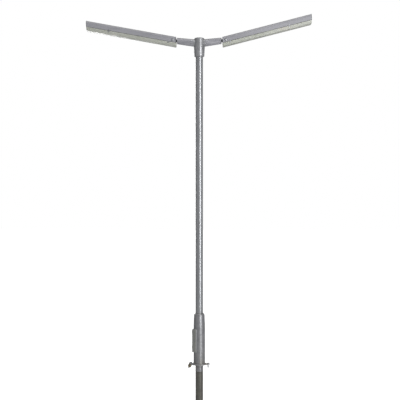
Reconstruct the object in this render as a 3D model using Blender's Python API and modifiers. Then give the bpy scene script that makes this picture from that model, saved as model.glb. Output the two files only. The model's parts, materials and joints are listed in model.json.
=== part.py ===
"""Twin-arm street lamp post: planted steel pole, cast base with a service door, two tube lanterns.

Metres, +Z up. The origin is on the pole's axis, at the underside of the ground flange. The arms run
along X, and -Y is the front. The door pieces are drawn in a frame that is turned to the door, and
each lantern in a frame at its tilt bolt, with X along the lantern; the left one is a mirror image.
"""

import math

import bmesh
import bpy
from mathutils import Matrix, Vector

GAP = 0.0003  # between pieces that touch
ROUND = 32  # sides of a large round piece

# Root, ground flange and ears
ROOT_RADIUS = 0.053
ROOT_WALL = 0.004
ROOT_DEPTH = 0.80
CABLE_SLOT = (0.050, 0.150)  # width and height of the cable entry in the back of the root
CABLE_SLOT_DEPTH = 0.45  # its centre, below ground
NECK_DEPTH = 0.085
SPIGOT_DEPTH = 0.100
SPIGOT_WALL = 0.0087
FLANGE_MARGIN = 0.018  # flange beyond the base
FLANGE_THICK = 0.020
FLANGE_CHAMFER = 0.004
EAR_OUT = 0.024  # bolt hole beyond the flange
EAR_RADIUS = 0.024
EAR_THICK = 0.016
EAR_BEND = math.radians(27)  # the left ear is bent up for the earth clamp
EAR_BOLT_LENGTHS = {"anchor": 0.058, "earth": 0.084}
CLAMP_BANDS = [  # radius and lower end of the earth clamp's lug, wire plate, collar and nut
    (0.025, 0.008),
    (0.018, 0.013),
    (0.025, 0.027),
    (0.018, 0.032),
    (0.022, 0.048),
]

# Pole and base section
POLE_RADIUS = 0.051
POLE_WALL = 0.004
BASE_TOP_MARGIN = 0.0218  # casting around the pole
BASE_SPREAD = 0.0072  # the base below its taper, beyond its top
BASE_WALL = 0.008
BASE_EDGE = 0.003
SHOULDER_HEIGHT = 0.022
SHOULDER_LIP = 0.0055
SHOULDER_STEP = 0.013
TAPER_HEIGHT = 0.150
SOCKET_DEPTH = 0.140  # how far the pole stands in the base
LEDGE_THICK = 0.016

# Service door, in the frame turned to it: X outwards, hinge at -Y
DOOR_DIRECTION = math.radians(217)
DOOR_HALF_WIDTH = 0.043
DOOR_BOTTOM = 0.177
DOOR_HEIGHT = 0.322
DOOR_TO_POLE = 0.073  # from the door's top to the pole's foot
DOOR_THICK = 0.0065
DOOR_FRAME_PROUD = 0.003
DOOR_FRAME_DEPTH = 0.021
DOOR_FRAME_INSET = (0.002, 0.005)  # behind the door's sides and its ends
DOOR_OVERLAP = (0.012, 0.020)  # door beyond its opening, at the sides and the ends
HINGE_EYE_OUT = (0.001, 0.006)  # pin beyond the frame's face and the door's side
HINGE_EYE_RADIUS = 0.0052
HINGE_PIN_RADIUS = 0.003
HINGE_PIN_TIP = 0.009  # below the door
HINGE_EYE_HEIGHT = 0.018
HINGE_EYE_INSET = 0.045  # from the door's top and bottom
LOCK_Y = 0.014
LOCK_STEM_RADIUS = 0.007
LOCK_FACE = (0.011, 0.0035)  # radius and thickness
LOCK_KEY_RADIUS = 0.0045
LOCK_CAM_BEHIND = 0.012  # behind the door frame
LOCK_CAM_REACH = 0.010  # behind the opening's side, when locked
LOCK_CAM = (0.004, 0.006)  # thickness and half width
RAIL_X = -0.030
RAIL_HALF_WIDTH = 0.045
RAIL_SHEET = 0.002
RAIL_INSET = 0.020
FUSE_BOX_DEPTH = 0.028
FUSE_BOX_HALF_WIDTH = 0.034
FUSE_BOX_HEIGHT = 0.140
FUSE_BOX_WALL = 0.003
FUSE_COVER_THICK = 0.010
FUSE_CARRIER = (0.020, 0.016, 0.028)  # depth, half width and half height
CABLE_RADIUS = 0.0045
CABLE_SPACING = 0.024
CABLE_ENTRY_CLEARANCE = 0.002

# Head of the pole
ARM_AXIS_HEIGHT = 4.441  # where the two arm axes meet
COLLAR_HEIGHT = 0.130
COLLAR_TAPER = 0.0068
HEAD_MARGIN = 0.0258  # casting around the pole
HEAD_TAPER = 0.0073
HEAD_BELOW_ARMS = 0.003
HEAD_ABOVE_ARMS = 0.013
CAP_HEIGHT = 0.019
CAP_EDGE = 0.003
CAP_LIP = 0.008
POLE_IN_HEAD = 0.018
HEAD_STOP = 0.007  # ledge over the pole's top

# Arms
ARM_RISE = math.radians(7)
ARM_ROOT_RADIUS = 0.051
ARM_END_RADIUS = 0.043
ARM_WALL = 0.0045
ARM_BOSS_LENGTH = 0.0092  # from the head's side to the arm
ARM_END_X = 0.308  # horizontal reach of the arm's plumb end
ARM_SPIGOT_LENGTH = 0.050
ARM_SPIGOT_CLEARANCE = 0.0009
ARM_BORE_RADIUS = 0.030
ARM_BOLT_ANGLE = math.radians(22)  # above and below the front of the arm
ARM_BOLT_INSET = 0.024  # from the arm's start
PLUG_LENGTH = 0.058

# Fasteners: head radius, head height and shank radius
BIG_BOLT = (0.015, 0.011, 0.009)
TILT_BOLT = (0.011, 0.008, 0.006)
SMALL_BOLT = (0.010, 0.008, 0.005)
SET_SCREW = (0.008, 0.006, 0.005)
STUD = (0.010, 0.007, 0.005)
STUD_LENGTH = 0.035
ARM_BOLT_LENGTH = 0.011
BOLT_CLEARANCE = 0.0004
THREAD_CLEARANCE = 0.0008

# Lanterns, in the frame at the tilt bolt
LANTERN_RISE = math.radians(12.3)
LANTERN_TRIM = math.radians(1.9)  # the right lantern is set this much steeper, the left flatter
PIVOT_OUT = 0.057  # tilt bolt beyond the arm's end
LANTERN_INNER = -0.0461
PIVOT_HEIGHT = 0.032  # tilt bolt above the joint line of housing and cover
HOUSING_HALF_WIDTH = 0.075
HOUSING_HEIGHT = 0.082
HOUSING_ROUND = (0.039, 0.040)  # width and height of the rounding from side to roof
HOUSING_WALL = 0.003
END_CAP_THICK = 0.006
END_CAP_LIP = 0.0015
GASKET_THICK = 0.0039
GASKET_WIDTH = 0.0065
GASKET_INSET = (0.004, 0.0015)  # from the lantern's ends and sides
COVER_DEPTH = 0.050
COVER_WALL = 0.003
COVER_DRAFT = 0.015
COVER_ROUND = 0.012
COVER_SIDE_INSET = 0.0005
COVER_RIM_HEIGHT = 0.006  # upright strip along the cover's rim
TONGUE_THICK = 0.030
TONGUE_RADIUS = 0.018
TONGUE_CLEARANCE = (0.003, 0.002)  # in the end cap's slot, across and up
TILT_RANGE = math.radians(10)
BRACKET_SHEET = 0.005
BRACKET_WEB = 0.007
BRACKET_CLEARANCE = 0.0008
BRACKET_HALF_LENGTH = 0.020
TRAY_HEIGHT = 0.040  # above the joint line
TRAY_SHEET = 0.0015
TRAY_SIDE_CLEARANCE = 0.017
TRAY_FLANGE = 0.012
TRAY_FROM_BRACKET = 0.009
TRAY_OVERHANG = 0.002
BALLAST_LENGTH = 0.300
BALLAST_SIDE_CLEARANCE = 0.014
LAMP_RADIUS = 0.008
LAMP_LENGTH = 1.149
LAMP_HEIGHT = 0.012
LAMP_TO_END = 0.0257  # from the lamp to the lantern's outer end
HOLDER_LENGTH = 0.012
HOLDER_HALF_WIDTH = 0.014
HOLDER_DROP = 0.011  # below the lamp's axis
COVER_HINGE_OUT = 0.0055
COVER_HINGE_HEIGHT = 0.004  # above the joint line
COVER_HINGE_EYE = 0.005
COVER_ROD_RADIUS = 0.0025
COVER_ROD_END = 0.006  # beyond the last hinge eye
COVER_HINGE_INSET = 0.190  # from each end of the lantern
COVER_HINGE_LENGTH = 0.020
COVER_HINGE_GAP = 0.0008
COVER_TAB_FOOT = 0.016
CATCH_INSETS = {"inner": 0.100, "outer": 0.329}  # from the inner and the outer end
CATCH_DROP = 0.016  # catch's pivot below the joint line
CATCH_HALF_WIDTH = 0.009
CATCH_LENGTH = 0.042
CATCH_THICK = 0.003
CATCH_STEM_RADIUS = 0.003
CATCH_BOSS = (0.008, 0.0058)  # radius and length

# Worked out from the sizes above
ARM_SLOPE = math.tan(ARM_RISE)
LANTERN_SLOPE = math.tan(LANTERN_RISE)
CABLE_BORE_RADIUS = ROOT_RADIUS - ROOT_WALL - GAP - SPIGOT_WALL
BASE_TOP_RADIUS = POLE_RADIUS + BASE_TOP_MARGIN
BASE_RADIUS = BASE_TOP_RADIUS + BASE_SPREAD
FLANGE_RADIUS = BASE_RADIUS + FLANGE_MARGIN
EAR_HOLE_RADIUS = BIG_BOLT[2] + 2 * GAP
DOOR_TOP = DOOR_BOTTOM + DOOR_HEIGHT
DOOR_MIDDLE = DOOR_BOTTOM + DOOR_HEIGHT / 2
POLE_FOOT = DOOR_TOP + DOOR_TO_POLE
BASE_HEIGHT = POLE_FOOT + SOCKET_DEPTH
DOOR_FRAME_FACE = BASE_RADIUS + DOOR_FRAME_PROUD
DOOR_FRAME_BACK = DOOR_FRAME_FACE - DOOR_FRAME_DEPTH
DOOR_BACK = DOOR_FRAME_FACE + GAP
DOOR_FACE = DOOR_BACK + DOOR_THICK
OPENING_HALF_WIDTH = DOOR_HALF_WIDTH - DOOR_OVERLAP[0]
HINGE_X = DOOR_FRAME_FACE + HINGE_EYE_OUT[0]
HINGE_Y = -DOOR_HALF_WIDTH - HINGE_EYE_OUT[1]
LOCK_CAM_X = DOOR_FRAME_BACK - LOCK_CAM_BEHIND
FUSE_BOX_BOTTOM = DOOR_MIDDLE - FUSE_BOX_HEIGHT / 2
HEAD_SEAM = ARM_AXIS_HEIGHT - ARM_ROOT_RADIUS - HEAD_BELOW_ARMS
HEAD_TOP = ARM_AXIS_HEIGHT + ARM_ROOT_RADIUS + HEAD_ABOVE_ARMS
HEAD_RADIUS = POLE_RADIUS + HEAD_MARGIN
HEAD_TOP_RADIUS = HEAD_RADIUS - HEAD_TAPER
HEAD_BORE_RADIUS = POLE_RADIUS - HEAD_STOP
COLLAR_FOOT_RADIUS = HEAD_RADIUS - COLLAR_TAPER
POLE_TOP = HEAD_SEAM + POLE_IN_HEAD
ARM_START = HEAD_RADIUS + ARM_BOSS_LENGTH
ARM_END = ARM_END_X / math.cos(ARM_RISE)
ARM_TAPER = (ARM_ROOT_RADIUS - ARM_END_RADIUS) / (ARM_END - ARM_START)
ARM_SPIGOT_RADIUS = ARM_ROOT_RADIUS - ARM_SPIGOT_LENGTH * ARM_TAPER - ARM_WALL - ARM_SPIGOT_CLEARANCE
ARM_BOLT_X = ARM_START + ARM_BOLT_INSET
PLUG_FACE = ARM_END - ARM_END_RADIUS * ARM_SLOPE - 0.001
PIVOT_REACH = ARM_END_X + PIVOT_OUT
ARM_PIVOT = PIVOT_REACH / math.cos(ARM_RISE)
JOINT_LINE = -PIVOT_HEIGHT
ROOF = JOINT_LINE + HOUSING_HEIGHT
HOUSING_TOP_HALF_WIDTH = HOUSING_HALF_WIDTH - HOUSING_ROUND[0]
HOUSING_SIDE = HOUSING_HEIGHT - HOUSING_ROUND[1]
COVER_RIM = JOINT_LINE - GASKET_THICK - 2 * GAP
COVER_BOTTOM_HALF_WIDTH = HOUSING_HALF_WIDTH - COVER_DRAFT
COVER_HINGE_Y = HOUSING_HALF_WIDTH + COVER_HINGE_OUT
TRAY_HALF_WIDTH = HOUSING_HALF_WIDTH - TRAY_SIDE_CLEARANCE
BALLAST_HALF_WIDTH = HOUSING_TOP_HALF_WIDTH - BALLAST_SIDE_CLEARANCE
LAMP_START = BRACKET_HALF_LENGTH + TRAY_FROM_BRACKET + TRAY_OVERHANG + GAP + HOLDER_LENGTH
LANTERN_OUTER = LAMP_START + LAMP_LENGTH + LAMP_TO_END

MATERIALS = {
    "cast_grey": ((0.34, 0.34, 0.35), 0.55, 0.6),
    "pole_grey": ((0.36, 0.37, 0.38), 0.45, 0.6),
    "door_grey": ((0.30, 0.31, 0.29), 0.5, 0.5),
    "root_black": ((0.06, 0.06, 0.055), 0.6, 0.0),
    "arm_grey": ((0.37, 0.37, 0.39), 0.45, 0.6),
    "housing_grey": ((0.30, 0.30, 0.33), 0.5, 0.4),
    "end_cap_dark": ((0.12, 0.12, 0.13), 0.5, 0.2),
    "opal_cover": ((0.62, 0.64, 0.58), 0.3, 0.0),
    "gasket_black": ((0.03, 0.03, 0.03), 0.8, 0.0),
    "tray_white": ((0.80, 0.80, 0.78), 0.4, 0.0),
    "ballast_grey": ((0.45, 0.46, 0.47), 0.4, 0.7),
    "lamp_glass": ((0.85, 0.86, 0.84), 0.15, 0.0),
    "holder_white": ((0.75, 0.75, 0.72), 0.45, 0.0),
    "knuckle_dark": ((0.10, 0.10, 0.11), 0.5, 0.7),
    "zinc": ((0.60, 0.60, 0.62), 0.35, 1.0),
    "brass": ((0.65, 0.50, 0.25), 0.35, 1.0),
    "fuse_grey": ((0.22, 0.23, 0.24), 0.5, 0.0),
    "cable_black": ((0.02, 0.02, 0.02), 0.6, 0.0),
}


# Scene, materials and placing


def clear_scene():
    for obj in list(bpy.data.objects):
        bpy.data.objects.remove(obj, do_unlink=True)


def new_collection(name):
    collection = bpy.data.collections.new(name)
    bpy.context.scene.collection.children.link(collection)
    return collection


def material(name):
    found = bpy.data.materials.get(name)
    if found:
        return found
    colour, roughness, metallic = MATERIALS[name]
    made = bpy.data.materials.new(name)
    made.use_nodes = True
    shader = made.node_tree.nodes["Principled BSDF"]
    shader.inputs["Base Color"].default_value = (*colour, 1)
    shader.inputs["Roughness"].default_value = roughness
    shader.inputs["Metallic"].default_value = metallic
    return made


def add_object(name, data, finish, parent=None, matrix=None):
    obj = bpy.data.objects.new(name, data)
    parts.objects.link(obj)
    obj.data.materials.append(material(finish))
    if matrix is not None:
        obj.matrix_local = matrix
    obj.parent = parent
    return obj


def add_frame(name, location, rise=0.0, turn=0.0, side=1, parent=None):
    """An empty that carries pieces; side -1 makes them a mirror image in X."""
    frame = bpy.data.objects.new(name, None)
    frame.empty_display_size = 0.05
    parts.objects.link(frame)
    frame.location = location
    frame.rotation_euler = (0, -side * rise, turn)
    frame.scale = (side, 1, 1)
    frame.parent = parent
    return frame


def as_tool(obj):
    """Moves a shape that cuts or joins another one out of the parts."""
    parts.objects.unlink(obj)
    tools.objects.link(obj)
    obj.hide_render = True
    obj.display_type = "WIRE"
    return obj


def boolean(target, other, operation):
    modifier = target.modifiers.new(operation.title() + " " + other.name, "BOOLEAN")
    modifier.object = as_tool(other)
    modifier.operation = operation
    modifier.solver = "EXACT"


def cut(target, *others):
    for other in others:
        boolean(target, other, "DIFFERENCE")


def join(target, *others):
    for other in others:
        boolean(target, other, "UNION")


def smooth(obj, degrees=40):
    obj.data.shade_smooth()
    obj.data.set_sharp_from_angle(angle=math.radians(degrees))
    return obj


def mesh_from(name, work):
    mesh = bpy.data.meshes.new(name)
    bmesh.ops.recalc_face_normals(work, faces=work.faces)
    work.to_mesh(mesh)
    work.free()
    return mesh


# Basic shapes


def turned(name, profile, finish, parent=None, matrix=None, ring=False, steps=ROUND):
    """A (radius, height) profile, top to bottom on its outer side, turned about Z."""
    points = [(radius, 0, height) for radius, height in profile]
    edges = [(i, i + 1) for i in range(len(points) - 1)]
    if ring:
        edges.append((len(points) - 1, 0))
    mesh = bpy.data.meshes.new(name)
    mesh.from_pydata(points, edges, [])
    obj = add_object(name, mesh, finish, parent, matrix)
    screw = obj.modifiers.new("Turn", "SCREW")
    screw.steps = steps
    screw.render_steps = steps
    screw.use_merge_vertices = True
    screw.merge_threshold = 0.00001
    return obj


def box(name, low, high, finish, parent=None, bevel=0.0, segments=1):
    """A box between two corners of its parent's frame."""
    low, high = Vector(low), Vector(high)
    work = bmesh.new()
    scale = Matrix.Diagonal((*(high - low), 1))
    bmesh.ops.create_cube(work, size=1, matrix=Matrix.Translation((low + high) / 2) @ scale)
    obj = add_object(name, mesh_from(name, work), finish, parent)
    if bevel:
        modifier = obj.modifiers.new("Rounded edges", "BEVEL")
        modifier.width = bevel
        modifier.segments = segments
    return obj


def rod(name, start, end, radius, finish, parent=None, segments=16):
    """A cylinder between two points of its parent's frame."""
    start, end = Vector(start), Vector(end)
    along = end - start
    turn = along.to_track_quat("Z", "Y").to_matrix().to_4x4()
    work = bmesh.new()
    bmesh.ops.create_cone(
        work,
        cap_ends=True,
        segments=segments,
        radius1=radius,
        radius2=radius,
        depth=along.length,
        matrix=Matrix.Translation((start + end) / 2) @ turn,
    )
    return smooth(add_object(name, mesh_from(name, work), finish, parent))


def prism(name, outline, thickness, finish, parent=None, matrix=None, slope=0.0):
    """A flat outline in XY, raised by thickness along Z; slope slides it along Z as Y grows."""
    work = bmesh.new()
    face = work.faces.new([work.verts.new((x, y, 0)) for x, y in outline])
    raised = bmesh.ops.extrude_face_region(work, geom=[face])["geom"]
    upper = [item for item in raised if isinstance(item, bmesh.types.BMVert)]
    bmesh.ops.translate(work, vec=(0, 0, thickness), verts=upper)
    for vert in work.verts:
        vert.co.z += vert.co.y * slope
    return add_object(name, mesh_from(name, work), finish, parent, matrix)


def arc(centre, radius, start, end, count):
    """Points on a circle, angles in degrees, both ends included."""
    angles = [math.radians(start + (end - start) * i / count) for i in range(count + 1)]
    return [(centre[0] + radius * math.cos(a), centre[1] + radius * math.sin(a)) for a in angles]


def hex_bolt(name, size, length, finish, matrix, parent=None):
    """A bolt with its head on +Z and the underside of the head at zero."""
    head_radius, head_height, shank_radius = size
    work = bmesh.new()
    bmesh.ops.create_cone(
        work,
        cap_ends=True,
        segments=6,
        radius1=head_radius,
        radius2=head_radius * 0.94,
        depth=head_height,
        matrix=Matrix.Translation((0, 0, head_height / 2)),
    )
    bolt = add_object(name, mesh_from(name, work), finish, parent, matrix)
    ends = (0, 0, -length), (0, 0, head_height / 2)
    shank = rod(name + "_shank", *ends, shank_radius, finish, parent, 12)
    shank.matrix_local = matrix
    join(bolt, shank)
    return bolt


# X, Y and Z of a lantern's section outline, which is drawn with width on X and height on Y
SECTION = Matrix(((0, 0, 1, 0), (1, 0, 0, 0), (0, 1, 0, 0), (0, 0, 0, 1)))


# Ground pieces


def make_root():
    profile = [
        (ROOT_RADIUS, -NECK_DEPTH - GAP),
        (ROOT_RADIUS, -ROOT_DEPTH),
        (ROOT_RADIUS - ROOT_WALL, -ROOT_DEPTH),
        (ROOT_RADIUS - ROOT_WALL, -NECK_DEPTH - GAP),
    ]
    root = turned("root_tube", profile, "root_black", ring=True)
    half = CABLE_SLOT[0] / 2
    low = (-half, 0, -CABLE_SLOT_DEPTH - CABLE_SLOT[1] / 2)
    high = (half, 2 * ROOT_RADIUS, -CABLE_SLOT_DEPTH + CABLE_SLOT[1] / 2)
    cut(root, box("cable_slot_cutter", low, high, "root_black"))


def make_ear(name, matrix):
    tip = arc((EAR_OUT, 0), EAR_RADIUS, -90, 90, 12)
    outline = [(-EAR_RADIUS, -EAR_RADIUS), *tip, (-EAR_RADIUS, EAR_RADIUS)]
    return prism(name, outline, EAR_THICK, "cast_grey", None, matrix)


def ear_matrix(side):
    """At the flange's rim, X outwards along the ear; the left ear is bent up."""
    place = Matrix.Translation((side * FLANGE_RADIUS, 0, 0))
    if side > 0:
        return place
    return place @ Matrix.Rotation(math.pi, 4, "Z") @ Matrix.Rotation(-EAR_BEND, 4, "Y")


def make_flange():
    spigot = ROOT_RADIUS - ROOT_WALL - GAP
    foot = -NECK_DEPTH - SPIGOT_DEPTH
    profile = [
        (FLANGE_RADIUS - FLANGE_CHAMFER, FLANGE_THICK),
        (FLANGE_RADIUS, FLANGE_THICK - FLANGE_CHAMFER),
        (FLANGE_RADIUS, 0),
        (ROOT_RADIUS, 0),
        (ROOT_RADIUS, -NECK_DEPTH),
        (spigot, -NECK_DEPTH),
        (spigot, foot),
        (CABLE_BORE_RADIUS, foot),
        (CABLE_BORE_RADIUS, FLANGE_THICK),
    ]
    flange = turned("ground_flange", profile, "cast_grey", ring=True)
    for side, name in ((1, "right"), (-1, "left")):
        join(flange, make_ear("ear_" + name, ear_matrix(side)))
    ends = (EAR_OUT, 0, -EAR_THICK), (EAR_OUT, 0, 2 * EAR_THICK)
    for side, name in ((1, "right"), (-1, "left")):
        hole = rod("ear_hole_" + name, *ends, EAR_HOLE_RADIUS, "cast_grey")
        hole.matrix_local = ear_matrix(side)
        cut(flange, hole)


def make_ear_fasteners():
    seat = Matrix.Translation((EAR_OUT, 0, EAR_THICK + GAP))
    for side, name in ((1, "anchor"), (-1, "earth")):
        hex_bolt(name + "_bolt", BIG_BOLT, EAR_BOLT_LENGTHS[name], "zinc", ear_matrix(side) @ seat)
    bore = BIG_BOLT[2] + BOLT_CLEARANCE
    profile, top = [], 0
    for radius, low in CLAMP_BANDS:
        profile += [(radius, top), (radius, -low)]
        top = -low
    profile += [(bore, top), (bore, 0)]
    under = Matrix.Translation((EAR_OUT, 0, -GAP))
    turned("earth_clamp", profile, "brass", None, ear_matrix(-1) @ under, ring=True, steps=24)


# Base section, door and what is behind it


def eye_outline(centre, radius, reach, half):
    """An eye of this radius with an arm of half width half reaching to x = reach."""
    x, y = centre
    return [(reach, y - half), *arc((x, y), radius, -90, 90, 10), (reach, y + half)]


def hinge_eyes(upper_first):
    """Height of the bottom of each hinge eye: the fixed ones, or those of the door above them."""
    step = HINGE_EYE_HEIGHT + GAP if upper_first else 0
    return [DOOR_BOTTOM + HINGE_EYE_INSET + step, DOOR_TOP - HINGE_EYE_INSET - HINGE_EYE_HEIGHT + step]


def make_base(door_frame):
    inner = BASE_RADIUS - BASE_WALL
    foot = FLANGE_THICK + GAP
    shoulder = BASE_HEIGHT - SHOULDER_HEIGHT
    seat = POLE_FOOT - GAP
    socket = POLE_RADIUS + GAP
    profile = [
        (socket + SHOULDER_LIP, BASE_HEIGHT),
        (socket + SHOULDER_STEP, BASE_HEIGHT - 0.007),
        (BASE_TOP_RADIUS - 0.0015, shoulder + 0.005),
        (BASE_TOP_RADIUS, shoulder),
        (BASE_RADIUS - 0.0008, shoulder - TAPER_HEIGHT * 0.9),
        (BASE_RADIUS, shoulder - TAPER_HEIGHT * 1.3),
        (BASE_RADIUS, foot + BASE_EDGE),
        (BASE_RADIUS - BASE_EDGE, foot),
        (inner, foot),
        (inner, seat - LEDGE_THICK - (inner - CABLE_BORE_RADIUS) / 2),
        (CABLE_BORE_RADIUS, seat - LEDGE_THICK),
        (CABLE_BORE_RADIUS, seat),
        (socket, seat),
        (socket, BASE_HEIGHT),
    ]
    base = turned("base_section", profile, "cast_grey", ring=True, steps=48)
    make_door_frame(base, door_frame)


def make_door_frame(base, door_frame):
    """Frame, hinge lugs, opening and earth stud's hole in the base."""
    side_inset, end_inset = DOOR_FRAME_INSET
    half = DOOR_HALF_WIDTH - side_inset
    low = (DOOR_FRAME_BACK, -half, DOOR_BOTTOM + end_inset)
    high = (DOOR_FRAME_FACE, half, DOOR_TOP - end_inset)
    join(base, box("door_frame_boss", low, high, "cast_grey", door_frame))
    root_x, root_y = HINGE_X - 0.014, HINGE_Y + 0.012
    outline = [(root_x, root_y), (root_x, HINGE_Y - 0.001)]
    outline += arc((HINGE_X, HINGE_Y), HINGE_EYE_RADIUS, 225, 400, 10)
    outline.append((DOOR_FRAME_FACE - 0.0005, -DOOR_HALF_WIDTH - 0.0007))
    outline.append((DOOR_FRAME_FACE - 0.002, root_y))
    for number, height in enumerate(hinge_eyes(False)):
        place = Matrix.Translation((0, 0, height))
        join(base, prism(f"hinge_lug_{number}", outline, HINGE_EYE_HEIGHT, "cast_grey", door_frame, place))
    low = (0, -OPENING_HALF_WIDTH, DOOR_BOTTOM + DOOR_OVERLAP[1])
    high = (DOOR_FACE + 0.02, OPENING_HALF_WIDTH, DOOR_TOP - DOOR_OVERLAP[1])
    cut(base, box("door_opening_cutter", low, high, "cast_grey", door_frame))
    low, high = (HINGE_X, HINGE_Y, DOOR_BOTTOM), (HINGE_X, HINGE_Y, DOOR_TOP)
    cut(base, rod("lug_bore_cutter", low, high, HINGE_PIN_RADIUS + BOLT_CLEARANCE, "cast_grey", door_frame))
    low, high = (-2 * BASE_RADIUS, 0, stud_height()), (0, 0, stud_height())
    cut(base, rod("earth_stud_cutter", low, high, STUD[2] + BOLT_CLEARANCE, "cast_grey", door_frame))


def stud_height():
    return DOOR_BOTTOM + DOOR_OVERLAP[1] / 2


def make_door(door_frame):
    """The door and its lock, each in a frame on its own axis."""
    hinge = add_frame("door_hinge_axis", (HINGE_X, HINGE_Y, DOOR_MIDDLE), parent=door_frame)
    back = DOOR_BACK - HINGE_X
    low = (back, -DOOR_HALF_WIDTH - HINGE_Y, -DOOR_HEIGHT / 2)
    high = (back + DOOR_THICK, DOOR_HALF_WIDTH - HINGE_Y, DOOR_HEIGHT / 2)
    door = box("service_door", low, high, "door_grey", hinge, bevel=0.0018, segments=2)
    outline = [(back + 0.001, 0.010), *arc((0, 0), HINGE_EYE_RADIUS, 95, 330, 10), (back + 0.0055, 0.010)]
    for number, height in enumerate(hinge_eyes(True)):
        place = Matrix.Translation((0, 0, height - DOOR_MIDDLE))
        join(door, prism(f"door_tab_{number}", outline, HINGE_EYE_HEIGHT, "door_grey", hinge, place))
    low, high = (0, 0, -DOOR_HEIGHT / 2), (0, 0, DOOR_HEIGHT / 2)
    cut(door, rod("door_bore_cutter", low, high, HINGE_PIN_RADIUS + BOLT_CLEARANCE, "door_grey", hinge))
    lock_y = LOCK_Y - HINGE_Y
    ends = (back - DOOR_THICK, lock_y, 0), (back + 2 * DOOR_THICK, lock_y, 0)
    cut(door, rod("lock_hole_cutter", *ends, LOCK_STEM_RADIUS + BOLT_CLEARANCE, "door_grey", hinge))
    make_lock(hinge, (back, lock_y, 0))


def make_lock(hinge, place):
    """Face with a three-sided key hole, stem, and cam that stands upright when open."""
    axis = add_frame("door_lock_axis", place, parent=hinge)
    radius, thick = LOCK_FACE
    face = DOOR_THICK + GAP
    lock = rod("door_lock", (face, 0, 0), (face + thick, 0, 0), radius, "zinc", axis)
    cam = LOCK_CAM_X - DOOR_BACK
    stem = rod("lock_stem", (cam, 0, 0), (face + thick / 3, 0, 0), LOCK_STEM_RADIUS, "zinc", axis)
    cam_thick, half = LOCK_CAM
    reach = OPENING_HALF_WIDTH - LOCK_Y + LOCK_CAM_REACH
    cam += 0.0005
    blade = box("lock_cam", (cam, -half, -0.004), (cam + cam_thick, half, reach), "zinc", axis)
    key_ends = (face - 0.001, 0, 0), (face + 2 * thick, 0, 0)
    join(lock, stem, blade)
    cut(lock, rod("lock_key_cutter", *key_ends, LOCK_KEY_RADIUS, "zinc", axis, 3))


def make_hinge_pin(door_frame):
    foot = DOOR_BOTTOM - HINGE_PIN_TIP
    head = DOOR_TOP - HINGE_EYE_INSET + HINGE_EYE_HEIGHT + 2 * GAP
    radius = HINGE_PIN_RADIUS
    profile = [
        (0, head + 0.004),
        (radius * 1.5, head + 0.0035),
        (radius * 1.7, head),
        (radius, head),
        (radius, foot + 0.006),
        (radius * 0.3, foot),
        (0, foot),
    ]
    place = Matrix.Translation((HINGE_X, HINGE_Y, 0))
    turned("door_hinge_pin", profile, "zinc", door_frame, place, steps=12)


def make_equipment(door_frame):
    inner = BASE_RADIUS - BASE_WALL
    leg = -math.sqrt(inner**2 - RAIL_HALF_WIDTH**2) + 0.002
    bottom = DOOR_BOTTOM + DOOR_OVERLAP[1] + RAIL_INSET
    half = RAIL_HALF_WIDTH
    outline = [(leg, -half), (RAIL_X, -half), (RAIL_X, half), (leg, half)]
    rail = shell("equipment_rail", outline, DOOR_TOP - bottom, RAIL_SHEET, "zinc", door_frame)
    rail.location = (0, 0, bottom)
    make_fuse_box(door_frame)
    place = Matrix.Translation((-BASE_RADIUS - GAP, 0, stud_height()))
    turn = Matrix.Rotation(-math.pi / 2, 4, "Y")
    hex_bolt("earth_stud", STUD, STUD_LENGTH, "brass", place @ turn, door_frame)


def make_fuse_box(door_frame):
    back = RAIL_X + GAP
    front = back + FUSE_BOX_DEPTH
    top = FUSE_BOX_BOTTOM + FUSE_BOX_HEIGHT
    wall = FUSE_BOX_WALL
    half = FUSE_BOX_HALF_WIDTH
    body = box("fuse_box", (back, -half, FUSE_BOX_BOTTOM), (front, half, top), "fuse_grey", door_frame, 0.002)
    low = (back + wall, -half + wall, FUSE_BOX_BOTTOM + wall)
    high = (front + wall, half - wall, top - wall)
    cut(body, box("fuse_box_cutter", low, high, "fuse_grey", door_frame))
    middle = back + FUSE_BOX_DEPTH / 2
    for side in (-1, 1):
        start = (middle, side * CABLE_SPACING / 2, top - 2 * wall)
        end = (middle, side * CABLE_SPACING / 2, top + wall)
        name = "cable_entry_left" if side < 0 else "cable_entry_right"
        cut(body, rod(name, start, end, CABLE_RADIUS + CABLE_ENTRY_CLEARANCE, "fuse_grey", door_frame))
    face = front + FUSE_COVER_THICK
    low = (front + GAP, -half, FUSE_BOX_BOTTOM)
    box("fuse_cover", low, (face, half, top), "fuse_grey", door_frame, bevel=0.003, segments=2)
    depth, half_width, half_height = FUSE_CARRIER
    low = (face + GAP, -half_width, DOOR_MIDDLE - half_height)
    high = (face + depth, half_width, DOOR_MIDDLE + half_height)
    box("fuse_carrier", low, high, "holder_white", door_frame, bevel=0.004, segments=2)


def shell(name, outline, length, wall, finish, parent=None, matrix=None, slope=0.0):
    """An open outline in XY raised along Z and given a wall on its left-hand side."""
    work = bmesh.new()
    verts = [work.verts.new((x, y, 0)) for x, y in outline]
    edges = [work.edges.new(pair) for pair in zip(verts, verts[1:])]
    raised = bmesh.ops.extrude_edge_only(work, edges=edges)["geom"]
    upper = [item for item in raised if isinstance(item, bmesh.types.BMVert)]
    bmesh.ops.translate(work, vec=(0, 0, length), verts=upper)
    for vert in work.verts:
        vert.co.z += vert.co.y * slope
    obj = add_object(name, mesh_from(name, work), finish, parent, matrix)
    add_wall(obj, wall)
    return obj


def add_wall(obj, thickness):
    """Thickens a sheet inwards."""
    solidify = obj.modifiers.new("Wall", "SOLIDIFY")
    solidify.thickness = thickness
    solidify.offset = -1
    solidify.use_even_offset = True


# Pole and its head


def make_pole():
    inner = POLE_RADIUS - POLE_WALL
    profile = [(POLE_RADIUS, POLE_TOP), (POLE_RADIUS, POLE_FOOT), (inner, POLE_FOOT), (inner, POLE_TOP)]
    turned("pole_shaft", profile, "pole_grey", ring=True)


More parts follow.
